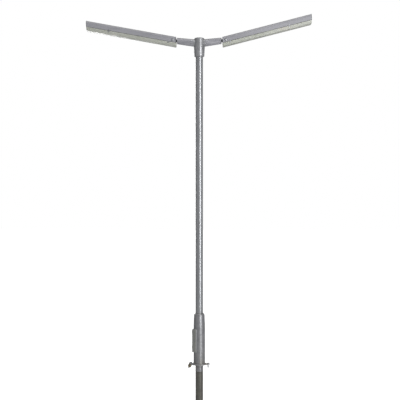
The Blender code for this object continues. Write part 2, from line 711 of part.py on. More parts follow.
def make_collar():
    foot = HEAD_SEAM - COLLAR_HEIGHT
    bore = POLE_RADIUS + GAP
    profile = [
        (HEAD_RADIUS - 0.001, HEAD_SEAM),
        (HEAD_RADIUS - 0.001, HEAD_SEAM - 0.006),
        (COLLAR_FOOT_RADIUS, foot + 0.012),
        (COLLAR_FOOT_RADIUS - 0.003, foot + 0.003),
        (COLLAR_FOOT_RADIUS - 0.010, foot),
        (bore, foot),
        (bore, HEAD_SEAM),
    ]
    collar = turned("hub_collar", profile, "cast_grey", ring=True)
    height = foot + COLLAR_HEIGHT * 0.4
    radius = COLLAR_FOOT_RADIUS + 0.003
    for turn, name in ((-55, "front"), (125, "back")):
        spin = Matrix.Rotation(math.radians(turn), 4, "Z")
        ends = (POLE_RADIUS / 2, 0, height), (2 * HEAD_RADIUS, 0, height)
        hole = rod("hub_screw_cutter_" + name, *ends, SET_SCREW[2] + BOLT_CLEARANCE, "cast_grey")
        hole.matrix_local = spin
        cut(collar, hole)
        place = spin @ Matrix.Translation((radius, 0, height)) @ Matrix.Rotation(math.pi / 2, 4, "Y")
        length = radius - POLE_RADIUS - 2 * GAP
        hex_bolt("hub_screw_" + name, SET_SCREW, length, "zinc", place)


def make_head(arm_frames):
    bore = POLE_RADIUS + GAP
    foot = HEAD_SEAM + GAP
    profile = [
        (HEAD_TOP_RADIUS, HEAD_TOP),
        (HEAD_RADIUS, foot + 0.012),
        (HEAD_RADIUS, foot + 0.002),
        (HEAD_RADIUS - 0.002, foot),
        (bore, foot),
        (bore, POLE_TOP + GAP),
        (HEAD_BORE_RADIUS, POLE_TOP + GAP),
        (HEAD_BORE_RADIUS, HEAD_TOP),
    ]
    head = turned("arm_head", profile, "cast_grey", ring=True)
    inside = HEAD_BORE_RADIUS + 0.006
    end = ARM_START + ARM_SPIGOT_LENGTH
    for name, frame in arm_frames.items():
        ends = (inside, 0, 0), (ARM_START, 0, 0)
        boss = rod("arm_boss_" + name, *ends, ARM_ROOT_RADIUS, "cast_grey", frame, ROUND)
        ends = (inside, 0, 0), (end, 0, 0)
        spigot = rod("arm_spigot_" + name, *ends, ARM_SPIGOT_RADIUS, "cast_grey", frame, ROUND)
        join(head, boss, spigot)
    ends = (0, 0, POLE_TOP), (0, 0, HEAD_TOP + CAP_HEIGHT)
    cut(head, rod("head_bore_cutter", *ends, HEAD_BORE_RADIUS, "cast_grey", None, ROUND))
    for name, frame in arm_frames.items():
        ends = (HEAD_BORE_RADIUS / 4, 0, 0), (2 * end, 0, 0)
        cut(head, rod("arm_bore_" + name, *ends, ARM_BORE_RADIUS, "cast_grey", frame, 24))
        cut(head, *arm_bolt_holes("spigot_hole_" + name, SMALL_BOLT[2] + BOLT_CLEARANCE, frame))
    make_head_cap()


def make_head_cap():
    lip = HEAD_BORE_RADIUS - GAP
    profile = [
        (0, HEAD_TOP + CAP_HEIGHT),
        *[(HEAD_TOP_RADIUS * math.sin(a), dome_height(a)) for a in (0.35, 0.7, 1.0, 1.25, 1.45)],
        (HEAD_TOP_RADIUS, HEAD_TOP + CAP_EDGE),
        (HEAD_TOP_RADIUS, HEAD_TOP + GAP),
        (lip, HEAD_TOP + GAP),
        (lip, HEAD_TOP - CAP_LIP),
        (0, HEAD_TOP - CAP_LIP),
    ]
    turned("head_cap", profile, "cast_grey")


def dome_height(angle):
    return HEAD_TOP + CAP_EDGE + (CAP_HEIGHT - CAP_EDGE) * math.cos(angle)


def arm_bolt_places():
    """Frames of an arm's two bolts on the arm's front, Z outwards, at the arm's surface."""
    places = []
    surface = ARM_ROOT_RADIUS - ARM_BOLT_INSET * ARM_TAPER
    for sign in (1, -1):
        spin = Matrix.Rotation(math.pi / 2 - sign * ARM_BOLT_ANGLE, 4, "X")
        place = Matrix.Translation((ARM_BOLT_X, 0, 0)) @ spin
        places.append(place @ Matrix.Translation((0, 0, surface)))
    return places


def arm_bolt_holes(name, radius, frame):
    """Cutters for an arm's two bolts."""
    holes = []
    for number, matrix in enumerate(arm_bolt_places()):
        ends = (0, 0, -2.5 * ARM_WALL), (0, 0, 2 * ARM_WALL)
        hole = rod(f"{name}_{number}", *ends, radius, "cast_grey", frame, 12)
        hole.matrix_local = matrix
        holes.append(hole)
    return holes


# Arms


def make_arm(side_name, frame):
    start = ARM_START + GAP + ARM_WALL * ARM_TAPER
    length = ARM_END - start
    work = bmesh.new()
    turn = Matrix.Translation((start + length / 2, 0, 0)) @ Matrix.Rotation(math.pi / 2, 4, "Y")
    bmesh.ops.create_cone(
        work,
        cap_ends=False,
        segments=ROUND,
        radius1=ARM_ROOT_RADIUS,
        radius2=ARM_END_RADIUS,
        depth=length,
        matrix=turn,
    )
    for vert in work.verts:
        if vert.co.x > start + length / 2:
            vert.co.x += vert.co.z * ARM_SLOPE
    name = "arm_" + side_name
    arm = smooth(add_object(name, mesh_from(name, work), "arm_grey", frame))
    add_wall(arm, ARM_WALL)
    cut(arm, *arm_bolt_holes("arm_hole_" + side_name, SMALL_BOLT[2] + THREAD_CLEARANCE, frame))
    head_lift = GAP + SMALL_BOLT[0] * ARM_TAPER
    for row, matrix in zip(("upper", "lower"), arm_bolt_places()):
        place = matrix @ Matrix.Translation((0, 0, head_lift))
        hex_bolt(f"arm_bolt_{row}_{side_name}", SMALL_BOLT, ARM_BOLT_LENGTH, "zinc", place, frame)


def make_knuckle(side_name, frame):
    """Plug in the arm's end with a tongue that reaches to the tilt bolt."""
    radius = ARM_END_RADIUS - ARM_WALL - 2 * GAP
    ends = (PLUG_FACE - PLUG_LENGTH, 0, 0), (PLUG_FACE, 0, 0)
    plug = rod("tilt_knuckle_" + side_name, *ends, radius, "knuckle_dark", frame, ROUND)
    root = PLUG_FACE - 0.01
    tip = arc((ARM_PIVOT, 0), TONGUE_RADIUS, -90, 90, 12)
    outline = [(root, -TONGUE_RADIUS), *tip, (root, TONGUE_RADIUS)]
    upright = Matrix.Translation((0, TONGUE_THICK / 2, 0)) @ Matrix.Rotation(math.pi / 2, 4, "X")
    join(plug, prism("tongue_" + side_name, outline, TONGUE_THICK, "knuckle_dark", frame, upright))
    low, high = (ARM_PIVOT, -TONGUE_THICK, 0), (ARM_PIVOT, TONGUE_THICK, 0)
    bore = TILT_BOLT[2] + BOLT_CLEARANCE
    cut(plug, rod("tongue_bore_" + side_name, low, high, bore, "knuckle_dark", frame))


# Lanterns


def housing_outline(grow=0.0):
    """Half of the housing's outer section on the -Y side, bottom to top, mirrored for the rest."""
    width = HOUSING_HALF_WIDTH + grow
    height = HOUSING_HEIGHT + grow
    top = HOUSING_TOP_HALF_WIDTH
    rounded = []
    for i in range(7):
        angle = math.pi / 2 * i / 6
        y = top + (width - top) * math.cos(angle)
        z = HOUSING_SIDE + (height - HOUSING_SIDE) * math.sin(angle)
        rounded.append((-y, JOINT_LINE + z))
    half = [(-width, JOINT_LINE), *rounded]
    return half + [(-y, z) for y, z in reversed(half)]


def along(start):
    """Frame for a section that starts at this X and runs outwards."""
    return Matrix.Translation((start, 0, 0)) @ SECTION


def make_housing(side_name, frame):
    start = LANTERN_INNER + END_CAP_THICK + GAP
    end = LANTERN_OUTER - END_CAP_THICK - GAP - HOUSING_WALL * LANTERN_SLOPE
    outline = list(reversed(housing_outline()))
    name = "housing_" + side_name
    place = along(start)
    housing = shell(name, outline, end - start, HOUSING_WALL, "housing_grey", frame, place, LANTERN_SLOPE)
    axis_z = JOINT_LINE + COVER_HINGE_HEIGHT
    root = HOUSING_HALF_WIDTH - 0.001
    eye = arc((COVER_HINGE_Y, axis_z), COVER_HINGE_EYE, -60, 90, 8)
    outline = [(root, axis_z - 0.003), *eye, (root, axis_z + 0.011)]
    for name, x in cover_hinges(False):
        name = f"housing_lug_{name}_{side_name}"
        join(housing, prism(name, outline, COVER_HINGE_LENGTH, "housing_grey", frame, along(x)))
    cut(housing, cover_hinge_bore("housing_bore_" + side_name, frame, axis_z, COVER_HINGE_Y))


def cover_hinges(on_cover):
    """Name and start of each hinge eye: the housing's, or the cover's beside it."""
    step = COVER_HINGE_LENGTH + COVER_HINGE_GAP
    inner = LANTERN_INNER + COVER_HINGE_INSET
    outer = LANTERN_OUTER - COVER_HINGE_INSET - COVER_HINGE_LENGTH
    if on_cover:
        return [("inner", inner + step), ("outer", outer - step)]
    return [("inner", inner), ("outer", outer)]


def cover_hinge_bore(name, frame, z, y):
    start = (LANTERN_INNER + COVER_HINGE_INSET / 2, y, z)
    end = (LANTERN_OUTER - COVER_HINGE_INSET / 2, y, z)
    return rod(name, start, end, COVER_ROD_RADIUS + BOLT_CLEARANCE, "housing_grey", frame, 12)


def make_end_caps(side_name, frame):
    outline = housing_outline(END_CAP_LIP)
    for place, x in (("inner", LANTERN_INNER), ("outer", LANTERN_OUTER - END_CAP_THICK)):
        name = f"end_cap_{place}_{side_name}"
        cap = prism(name, outline, END_CAP_THICK, "end_cap_dark", frame, along(x), LANTERN_SLOPE)
        if place == "inner":
            offset = -LANTERN_INNER * math.tan(LANTERN_RISE - ARM_RISE)
            across, up = TONGUE_CLEARANCE
            half = TONGUE_RADIUS / math.cos(TILT_RANGE) - LANTERN_INNER * math.tan(TILT_RANGE) + up
            width = TONGUE_THICK / 2 + across
            low = (2 * LANTERN_INNER, -width, offset - half)
            high = (LANTERN_INNER / 4, width, offset + half)
            cut(cap, box("tongue_slot_" + side_name, low, high, "end_cap_dark", frame))


def make_mounting(side_name, frame):
    """Bracket under the housing's roof, and the bolt on which the lantern tilts."""
    inside = TONGUE_THICK / 2 + BRACKET_CLEARANCE
    outside = inside + BRACKET_SHEET
    top = ROOF - HOUSING_WALL - GAP
    half = BRACKET_HALF_LENGTH
    name = "mounting_bracket_" + side_name
    bracket = box(name, (-half, -outside, -half), (half, outside, top), "zinc", frame)
    low, high = (-2 * half, -inside, -2 * half), (2 * half, inside, top - BRACKET_WEB)
    cut(bracket, box("bracket_slot_" + side_name, low, high, "zinc", frame))
    low, high = (0, -2 * outside, 0), (0, 2 * outside, 0)
    cut(bracket, rod("bracket_bore_" + side_name, low, high, TILT_BOLT[2] + BOLT_CLEARANCE, "zinc", frame))
    place = Matrix.Translation((0, -outside - GAP, 0)) @ Matrix.Rotation(math.pi / 2, 4, "X")
    length = 2 * outside + 2 * TILT_BOLT[2]
    hex_bolt("tilt_bolt_" + side_name, TILT_BOLT, length, "zinc", place, frame)


def make_gear(side_name, frame):
    """Gear tray, ballast, lamp and its two holders."""
    start = LAMP_START - HOLDER_LENGTH - GAP - TRAY_OVERHANG
    end = LAMP_START + LAMP_LENGTH + HOLDER_LENGTH - TRAY_OVERHANG
    web = JOINT_LINE + TRAY_HEIGHT
    top = web + TRAY_SHEET
    foot = web - TRAY_FLANGE
    edge = TRAY_HALF_WIDTH
    outline = [(edge, foot), (edge, top), (-edge, top), (-edge, foot)]
    shell("gear_tray_" + side_name, outline, end - start, TRAY_SHEET, "tray_white", frame, along(start))

    middle = (start + end) / 2
    low = (middle - BALLAST_LENGTH / 2, -BALLAST_HALF_WIDTH, web + TRAY_SHEET + GAP)
    high = (middle + BALLAST_LENGTH / 2, BALLAST_HALF_WIDTH, ROOF - HOUSING_WALL - GAP)
    box("ballast_" + side_name, low, high, "ballast_grey", frame, bevel=0.002)

    lamp = JOINT_LINE + LAMP_HEIGHT
    far = LAMP_START + LAMP_LENGTH
    rod("lamp_tube_" + side_name, (LAMP_START, 0, lamp), (far, 0, lamp), LAMP_RADIUS, "lamp_glass", frame, 20)
    for place, x in (("inner", LAMP_START - GAP - HOLDER_LENGTH), ("outer", far + GAP)):
        low = (x, -HOLDER_HALF_WIDTH, lamp - HOLDER_DROP)
        high = (x + HOLDER_LENGTH, HOLDER_HALF_WIDTH, web - GAP)
        box(f"lamp_holder_{place}_{side_name}", low, high, "holder_white", frame, bevel=0.003)


def make_gasket(side_name, frame):
    """Flat ring between housing and cover."""
    end_inset, side_inset = GASKET_INSET
    outer = HOUSING_HALF_WIDTH - side_inset
    inner = outer - GASKET_WIDTH
    top = JOINT_LINE - GAP
    start = LANTERN_INNER + end_inset + JOINT_LINE * LANTERN_SLOPE
    end = LANTERN_OUTER - end_inset + JOINT_LINE * LANTERN_SLOPE
    low, high = (start, -outer, top - GASKET_THICK), (end, outer, top)
    gasket = box("gasket_" + side_name, low, high, "gasket_black", frame)
    low = (start + GASKET_WIDTH, -inner, top - 2 * GASKET_THICK)
    high = (end - GASKET_WIDTH, inner, top + GASKET_THICK)
    cut(gasket, box("gasket_cutter_" + side_name, low, high, "gasket_black", frame))


def make_hinge_rod(side_name, frame):
    y, z = COVER_HINGE_Y, JOINT_LINE + COVER_HINGE_HEIGHT
    start = (LANTERN_INNER + COVER_HINGE_INSET - COVER_ROD_END, y, z)
    end = (LANTERN_OUTER - COVER_HINGE_INSET + COVER_ROD_END, y, z)
    rod("hinge_rod_" + side_name, start, end, COVER_ROD_RADIUS, "zinc", frame, 10)


def make_cover(side_name, frame):
    """Trough below the joint line, in a frame on its hinge rod, with its two catches."""
    axis = (0, COVER_HINGE_Y, JOINT_LINE + COVER_HINGE_HEIGHT)
    hinge = add_frame("cover_hinge_axis_" + side_name, axis, parent=frame)
    rim = HOUSING_HALF_WIDTH - COVER_SIDE_INSET
    floor = JOINT_LINE - COVER_DEPTH
    cover = cover_shell("cover_" + side_name, rim, floor, hinge, axis)
    outline = cover_tab_outline(rim, floor, axis[2])
    for name, x in cover_hinges(True):
        name = f"cover_tab_{name}_{side_name}"
        join(cover, prism(name, outline, COVER_HINGE_LENGTH, "opal_cover", hinge, along(x)))
    cut(cover, cover_hinge_bore("cover_bore_" + side_name, hinge, 0, 0))
    boss_radius, boss_length = CATCH_BOSS
    boss_z = JOINT_LINE - CATCH_DROP - axis[2]
    face = -HOUSING_HALF_WIDTH - COVER_HINGE_Y - GAP
    for place, x in catch_places().items():
        ends = (x, face + boss_length, boss_z), (x, face, boss_z)
        name = f"catch_boss_{place}_{side_name}"
        join(cover, rod(name, *ends, boss_radius, "opal_cover", hinge, 16))
        ends = (x, face + 3 * boss_length, boss_z), (x, face - boss_length, boss_z)
        name = f"catch_hole_{place}_{side_name}"
        cut(cover, rod(name, *ends, CATCH_STEM_RADIUS + BOLT_CLEARANCE, "opal_cover", hinge, 12))
        make_catch(f"cover_catch_{place}_{side_name}", (x, face - GAP, boss_z), hinge)


def cover_tab_outline(rim, floor, axis_z):
    """Hinge eye with a strip down the cover's outer side."""
    top = COVER_RIM - axis_z - 0.001
    foot = COVER_RIM - axis_z - COVER_TAB_FOOT
    wall = rim - COVER_HINGE_Y
    inset = COVER_TAB_FOOT * (rim - COVER_BOTTOM_HALF_WIDTH) / (COVER_RIM - floor)
    inside = wall - 0.0017
    outline = [*arc((0, 0), COVER_HINGE_EYE, -20, 200, 10), (-COVER_HINGE_EYE * 0.7, top)]
    outline += [(inside, top), (inside - inset, foot), (wall - inset + 0.002, foot)]
    return outline


def cover_shell(name, rim, floor, hinge, axis):
    """Open-topped trough with plumb ends, rounded along its bottom."""
    work = bmesh.new()
    bmesh.ops.create_cube(work, size=1)
    for vert in work.verts:
        upper = vert.co.z > 0
        z = COVER_RIM - COVER_RIM_HEIGHT if upper else floor
        half = rim if upper else COVER_BOTTOM_HALF_WIDTH
        end = LANTERN_OUTER - GAP if vert.co.x > 0 else LANTERN_INNER + GAP
        vert.co = Vector((end + z * LANTERN_SLOPE, math.copysign(half, vert.co.y), z)) - Vector(axis)
    lid = max(work.faces, key=lambda face: face.calc_center_median().z)
    bmesh.ops.delete(work, geom=[lid], context="FACES_ONLY")
    edges = [edge for edge in work.edges if not edge.is_boundary]
    bmesh.ops.bevel(work, geom=edges, offset=COVER_ROUND, segments=4, profile=0.5, affect="EDGES")
    rim_edges = [edge for edge in work.edges if edge.is_boundary]
    raised = bmesh.ops.extrude_edge_only(work, edges=rim_edges)["geom"]
    upper = [item for item in raised if isinstance(item, bmesh.types.BMVert)]
    bmesh.ops.translate(work, vec=(0, 0, COVER_RIM_HEIGHT), verts=upper)
    cover = smooth(add_object(name, mesh_from(name, work), "opal_cover", hinge))
    add_wall(cover, COVER_WALL)
    return cover


def catch_places():
    """X of each catch in the lantern's frame."""
    return {
        "inner": LANTERN_INNER + CATCH_INSETS["inner"],
        "outer": LANTERN_OUTER - CATCH_INSETS["outer"],
    }


def make_catch(name, place, hinge):
    """Turn button that spans the joint line, on a stem in the cover's boss."""
    axis = add_frame("axis_" + name, place, parent=hinge)
    half = CATCH_HALF_WIDTH
    top = CATCH_LENGTH - half
    outline = [*arc((0, 0), half, 180, 360, 8), *arc((0, top - half), half, 0, 180, 8)]
    upright = Matrix.Rotation(math.pi / 2, 4, "X")
    plate = prism(name, outline, CATCH_THICK, "zinc", axis, upright)
    ends = (0, 0.008, 0), (0, -CATCH_THICK - 0.002, 0)
    stem = rod(name + "_stem", *ends, CATCH_STEM_RADIUS, "zinc", axis, 12)
    join(plate, stem)


def make_lantern(side_name, side):
    pivot = (side * PIVOT_REACH, 0, ARM_AXIS_HEIGHT + PIVOT_REACH * ARM_SLOPE)
    rise = LANTERN_RISE + side * LANTERN_TRIM
    frame = add_frame("lantern_tilt_axis_" + side_name, pivot, rise, side=side)
    make_housing(side_name, frame)
    make_end_caps(side_name, frame)
    make_mounting(side_name, frame)
    make_gear(side_name, frame)
    make_gasket(side_name, frame)
    make_hinge_rod(side_name, frame)
    make_cover(side_name, frame)


# Lead cables


def smooth_route(points, per_span=4):
    """Points read from a smooth curve through the route's own points."""
    padded = [2 * points[0] - points[1], *points, 2 * points[-1] - points[-2]]
    route = []
    for a, b, c, d in zip(padded, padded[1:], padded[2:], padded[3:]):
        for i in range(per_span):
            t = i / per_span
            bend = (2 * a - 5 * b + 4 * c - d) * t * t + (3 * b - a - 3 * c + d) * t**3
            route.append((2 * b + (c - a) * t + bend) / 2)
    return [*route, points[-1]]


def make_cable(side_name, side):
    """From the fuse box up the pole, over the head's inner bend and along the arm to its plug."""
    middle = RAIL_X + GAP + FUSE_BOX_DEPTH / 2
    start = Matrix.Rotation(DOOR_DIRECTION, 4, "Z") @ Vector((middle, side * CABLE_SPACING / 2, 0))
    box_top = FUSE_BOX_BOTTOM + FUSE_BOX_HEIGHT
    lane = side * 0.012
    plug_back = (PLUG_FACE - PLUG_LENGTH - 5 * GAP) * math.cos(ARM_RISE)
    points = [Vector((start.x, start.y, box_top + rise)) for rise in (-0.030, 0.0, 0.035)]
    sway = (0.010, -0.008, 0.009, -0.007, 0.0)
    first, last = POLE_FOOT + 0.15, POLE_TOP - 0.12
    for i, y in enumerate(sway):
        points.append(Vector((lane, y, first + (last - first) * i / (len(sway) - 1))))
    points.append(Vector((lane, 0, ARM_AXIS_HEIGHT - 0.062)))
    points.append(Vector((lane + side * 0.009, 0, ARM_AXIS_HEIGHT - 0.024)))
    points.append(Vector((side * 0.050, 0, ARM_AXIS_HEIGHT + 0.050 * ARM_SLOPE - 0.002)))
    for x in (0.095, 0.160, plug_back):
        points.append(Vector((side * x, 0, ARM_AXIS_HEIGHT + x * ARM_SLOPE - 0.004)))
    route = smooth_route(points)
    curve = bpy.data.curves.new("lead_cable_" + side_name, "CURVE")
    curve.dimensions = "3D"
    curve.bevel_depth = CABLE_RADIUS
    curve.bevel_resolution = 2
    curve.use_fill_caps = True
    spline = curve.splines.new("POLY")
    spline.points.add(len(route) - 1)
    for point, place in zip(spline.points, route):
        point.co = (*place, 1)
    add_object("lead_cable_" + side_name, curve, "cable_black")


def main():
    make_root()
    make_flange()
    make_ear_fasteners()
    door_frame = add_frame("door_frame", (0, 0, 0), turn=DOOR_DIRECTION)
    make_base(door_frame)
    make_door(door_frame)
    make_hinge_pin(door_frame)
    make_equipment(door_frame)
    make_pole()
    make_collar()
    sides = {"left": -1, "right": 1}
    arm_frames = {
        name: add_frame("arm_axis_" + name, (0, 0, ARM_AXIS_HEIGHT), ARM_RISE, side=side)
        for name, side in sides.items()
    }
    make_head(arm_frames)
    for name, side in sides.items():
        make_arm(name, arm_frames[name])
        make_knuckle(name, arm_frames[name])
        make_lantern(name, side)
        make_cable(name, side)


clear_scene()
parts = new_collection("Street lamp post")
tools = new_collection("Cutters")
main()
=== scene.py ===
# Street lamp post with two tube lanterns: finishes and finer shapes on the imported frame
import json
import math

import bpy
from mathutils import Matrix, Vector

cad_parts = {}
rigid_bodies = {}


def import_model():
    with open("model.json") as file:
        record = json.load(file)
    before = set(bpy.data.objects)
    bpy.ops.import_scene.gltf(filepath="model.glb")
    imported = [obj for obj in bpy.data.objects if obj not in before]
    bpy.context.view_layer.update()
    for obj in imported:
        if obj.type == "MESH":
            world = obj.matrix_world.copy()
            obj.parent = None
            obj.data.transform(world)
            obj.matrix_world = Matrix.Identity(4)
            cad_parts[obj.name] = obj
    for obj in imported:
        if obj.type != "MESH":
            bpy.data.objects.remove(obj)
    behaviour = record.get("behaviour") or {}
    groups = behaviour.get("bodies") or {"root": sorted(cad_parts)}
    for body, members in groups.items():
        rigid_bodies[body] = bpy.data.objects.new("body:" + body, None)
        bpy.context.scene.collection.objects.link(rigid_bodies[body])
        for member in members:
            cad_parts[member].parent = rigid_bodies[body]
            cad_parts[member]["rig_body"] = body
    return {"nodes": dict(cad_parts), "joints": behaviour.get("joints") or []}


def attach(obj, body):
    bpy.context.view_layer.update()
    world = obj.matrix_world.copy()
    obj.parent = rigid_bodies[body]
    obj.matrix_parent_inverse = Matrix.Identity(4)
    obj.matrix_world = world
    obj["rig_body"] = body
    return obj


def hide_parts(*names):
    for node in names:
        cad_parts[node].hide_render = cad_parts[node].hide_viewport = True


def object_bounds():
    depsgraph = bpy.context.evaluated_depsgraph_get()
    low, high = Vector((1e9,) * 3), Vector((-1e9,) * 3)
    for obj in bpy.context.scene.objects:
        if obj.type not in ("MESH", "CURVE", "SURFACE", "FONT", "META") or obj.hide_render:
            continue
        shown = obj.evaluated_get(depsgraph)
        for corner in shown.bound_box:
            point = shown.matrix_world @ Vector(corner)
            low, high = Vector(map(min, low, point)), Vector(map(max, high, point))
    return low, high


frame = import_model()
cadLow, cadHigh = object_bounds()
nodes = frame["nodes"]
joints = {joint["name"]: joint for joint in frame["joints"]}
print("frame loaded:", len(nodes), "nodes")

# Camera, floor and light

view = {
    "distance": 12.5,
    "turn": 1.5,  # degrees to the right of the front
    "height": 2.277,
    "lens": 81.3,
    "shift": 0.0018,
}
lamps = {  # place, size, watts and the point each is aimed at
    "keySoftbox": ((5.2, -7.9, 3.4), (1.5, 8.2), 760, (0, 0, 2.6)),
    "topSoftbox": ((0.5, -1.5, 8.5), (5, 4), 90, (0, 0, 0)),
    "leftSoftbox": ((-8.0, -6.0, 3.0), (2.0, 6.0), 25, (0, 0, 2.6)),
    "backSoftbox": ((-4.0, 9.0, 4.0), (2.5, 7.0), 260, (0, 0, 2.6)),
}
sky = {
    "colour": "#9b9b9c",
    "strength": 1.06,
    "fromBelow": 2.4,  # light from the pale floor, as a share of the sky's
    "belowStart": -0.25,  # how far a direction dips where that light starts
    "belowFull": -0.95,
}
studioFloor = {
    "colour": "#f2f2f0",
    "roughness": 0.9,
    "glow": 0.82,
    "size": 160,
    "gap": 0.002,  # below the lowest solid
}
white = (1, 1, 1, 1)


def hexColour(text):
    # sRGB hex to the linear colour that shaders take
    parts = [int(text[i:i + 2], 16) / 255 for i in (1, 3, 5)]
    linear = [c / 12.92 if c <= 0.04045 else ((c + 0.055) / 1.055) ** 2.4 for c in parts]
    return (*linear, 1)


def addNode(tree, kind, inputs=None, **settings):
    # one shader node: settings are its properties, inputs are values or sockets to link
    node = tree.nodes.new(kind)
    for name, value in settings.items():
        setattr(node, name, value)
    for key, value in (inputs or {}).items():
        if isinstance(value, bpy.types.NodeSocket):
            tree.links.new(value, node.inputs[key])
        else:
            node.inputs[key].default_value = value
    return node


def deselectAll():
    if bpy.context.mode != "OBJECT":
        bpy.ops.object.mode_set(mode="OBJECT")
    bpy.ops.object.select_all(action="DESELECT")


def pick(*pieces):
    deselectAll()
    for piece in pieces:
        piece.select_set(True)
    bpy.context.view_layer.objects.active = pieces[0]


def makeCamera():
    turn = math.radians(view["turn"])
    place = (math.sin(turn) * view["distance"], -math.cos(turn) * view["distance"], view["height"])
    deselectAll()
    bpy.ops.object.camera_add(location=place, rotation=(math.pi / 2, 0, turn))
    camera = bpy.context.object
    camera.name = "frontCamera"
    camera.data.lens = view["lens"]
    camera.data.shift_x = view["shift"]
    camera.data.clip_end = 200
    bpy.context.scene.camera = camera


def makeLamps():
    for name, (place, size, watts, aim) in lamps.items():
        deselectAll()
        bpy.ops.object.light_add(type="AREA", location=place)
        lamp = bpy.context.object
        lamp.name = name
        lamp.data.shape = "RECTANGLE"
        lamp.data.size, lamp.data.size_y = size
        lamp.data.energy = watts
        lamp.rotation_euler = (Vector(aim) - Vector(place)).to_track_quat("-Z", "Y").to_euler()


def makeSky():
    # the air around is a soft grey light, and the wall behind is white
    world = bpy.data.worlds.new("studio")
    bpy.context.scene.world = world
    world.use_nodes = True
    tree = world.node_tree
    tree.nodes.clear()
    way = addNode(tree, "ShaderNodeTexCoord").outputs["Generated"]
    height = addNode(tree, "ShaderNodeSeparateXYZ", {0: way}).outputs[2]
    power = addNode(tree, "ShaderNodeMapRange", {
        "Value": height, "From Min": sky["belowStart"], "From Max": sky["belowFull"],
        "To Min": sky["strength"], "To Max": sky["strength"] * sky["fromBelow"],
    }).outputs[0]
    lit = addNode(tree, "ShaderNodeBackground", {"Color": hexColour(sky["colour"]), "Strength": power})
    seen = addNode(tree, "ShaderNodeBackground", {"Color": white, "Strength": 1.0})
    path = addNode(tree, "ShaderNodeLightPath").outputs["Is Camera Ray"]
    mix = addNode(tree, "ShaderNodeMixShader", {0: path, 1: lit.outputs[0], 2: seen.outputs[0]})
    addNode(tree, "ShaderNodeOutputWorld", {"Surface": mix.outputs[0]})


def makeFloor():
    look = studioFloor
    deselectAll()
    bpy.ops.mesh.primitive_plane_add(size=look["size"], location=(0, 0, cadLow.z - look["gap"]))
    floor = bpy.context.object
    floor.name = "studioFloor"
    paint = bpy.data.materials.new("studioFloorPaint")
    paint.use_nodes = True
    tree = paint.node_tree
    shader = tree.nodes["Principled BSDF"]
    shader.inputs["Base Color"].default_value = hexColour(look["colour"])
    shader.inputs["Roughness"].default_value = look["roughness"]
    shader.inputs["Emission Color"].default_value = white
    shader.inputs["Emission Strength"].default_value = look["glow"]
    # seen from below the floor is clear
    clear = addNode(tree, "ShaderNodeBsdfTransparent")
    under = addNode(tree, "ShaderNodeNewGeometry").outputs["Backfacing"]
    both = addNode(tree, "ShaderNodeMixShader", {0: under, 1: shader.outputs[0], 2: clear.outputs[0]})
    tree.links.new(both.outputs[0], tree.nodes["Material Output"].inputs["Surface"])
    floor.data.materials.append(paint)
    floor.visible_glossy = False
    floor.visible_diffuse = False


makeCamera()
makeLamps()
makeSky()
makeFloor()
scene = bpy.context.scene
scene.view_settings.view_transform = "Standard"
print("camera, light and floor made")

# Finishes. Pattern sizes and bump depths are in millimetres. A tint is a hex colour, its share at
# full strength and, where it has them, the mask's values where it starts and is full.

sides = {"left": -1, "right": 1}
dustCover = {"level": 0.35, "flat": 0.98, "thin": 0.3, "thick": 0.72, "least": 0.25}
wearEdge = {"start": 0.515, "full": 0.56, "thin": 0.35, "thick": 0.6, "least": 0.3}
splashSpots = {"start": 0.42, "full": 0.68}
rainRuns = {"start": 0.52, "full": 0.75, "drawnOut": 0.06}
lanternTurn = 12.3  # degrees a lantern's patterns are turned, to run along it
noises = {
    "patch": {"Detail": 5.0, "Roughness": 0.62},
    "grain": {"Detail": 3.0, "Roughness": 0.55},
    "peel": {"Detail": 2.0},
    "drawn": {"Detail": 4.0},
}


def startFinish(name, look, turn=0.0):
    # place, slow patches and fine grain that every finish here starts from
    finish = bpy.data.materials.new(name)
    finish.use_nodes = True
    tree = finish.node_tree
    shader = tree.nodes["Principled BSDF"]
    for socket, value in look.get("shader", {}).items():
        shader.inputs[socket].default_value = value
    where = addNode(tree, "ShaderNodeTexCoord").outputs["Object"]
    turned = addNode(tree, "ShaderNodeMapping", {
        "Vector": where, "Rotation": (0, math.radians(turn), 0),
    }).outputs[0]
    stretched = addNode(tree, "ShaderNodeMapping", {
        "Vector": turned, "Scale": look.get("stretch", (1, 1, 1)),
    }).outputs[0]
    patches = addNode(tree, "ShaderNodeTexNoise", {
        "Vector": stretched, "Scale": 1000 / look["patch"], **noises["patch"],
    }).outputs[0]
    grain = addNode(tree, "ShaderNodeTexNoise", {
        "Vector": stretched, "Scale": 1000 / look["grain"], **noises["grain"],
    }).outputs[0]
    return {"finish": finish, "tree": tree, "shader": shader, "where": where, "turned": turned,
            "patches": patches, "grain": grain}


def addTint(base, colour, mask, tint):
    # more of the tint where the mask climbs from start to full
    look, share, start, full = tint
    amount = addNode(base["tree"], "ShaderNodeMapRange", {
        "Value": mask, "From Min": start, "From Max": full, "To Max": share,
    }).outputs[0]
    return addNode(base["tree"], "ShaderNodeMix", {0: amount, 6: colour, 7: hexColour(look)},
                   data_type="RGBA").outputs[2]


def mottle(base, look):
    # the ground colour, which drifts to the other one over the patches
    start, full = look.get("drift", (0.3, 0.7))
    return addTint(base, hexColour(look["ground"]), base["patches"], (look["patchy"], 1.0, start, full))


def addDust(base, colour, tint):
    # settled dust on faces that look up, broken up by the patches
    tree, edge = base["tree"], dustCover
    normal = addNode(tree, "ShaderNodeNewGeometry").outputs["Normal"]
    up = addNode(tree, "ShaderNodeSeparateXYZ", {0: normal}).outputs[2]
    broken = addNode(tree, "ShaderNodeMapRange", {
        "Value": base["patches"], "From Min": edge["thin"], "From Max": edge["thick"],
        "To Min": edge["least"] * tint[1], "To Max": tint[1],
    }).outputs[0]
    return addTint(base, colour, up, (tint[0], broken, edge["level"], edge["flat"]))


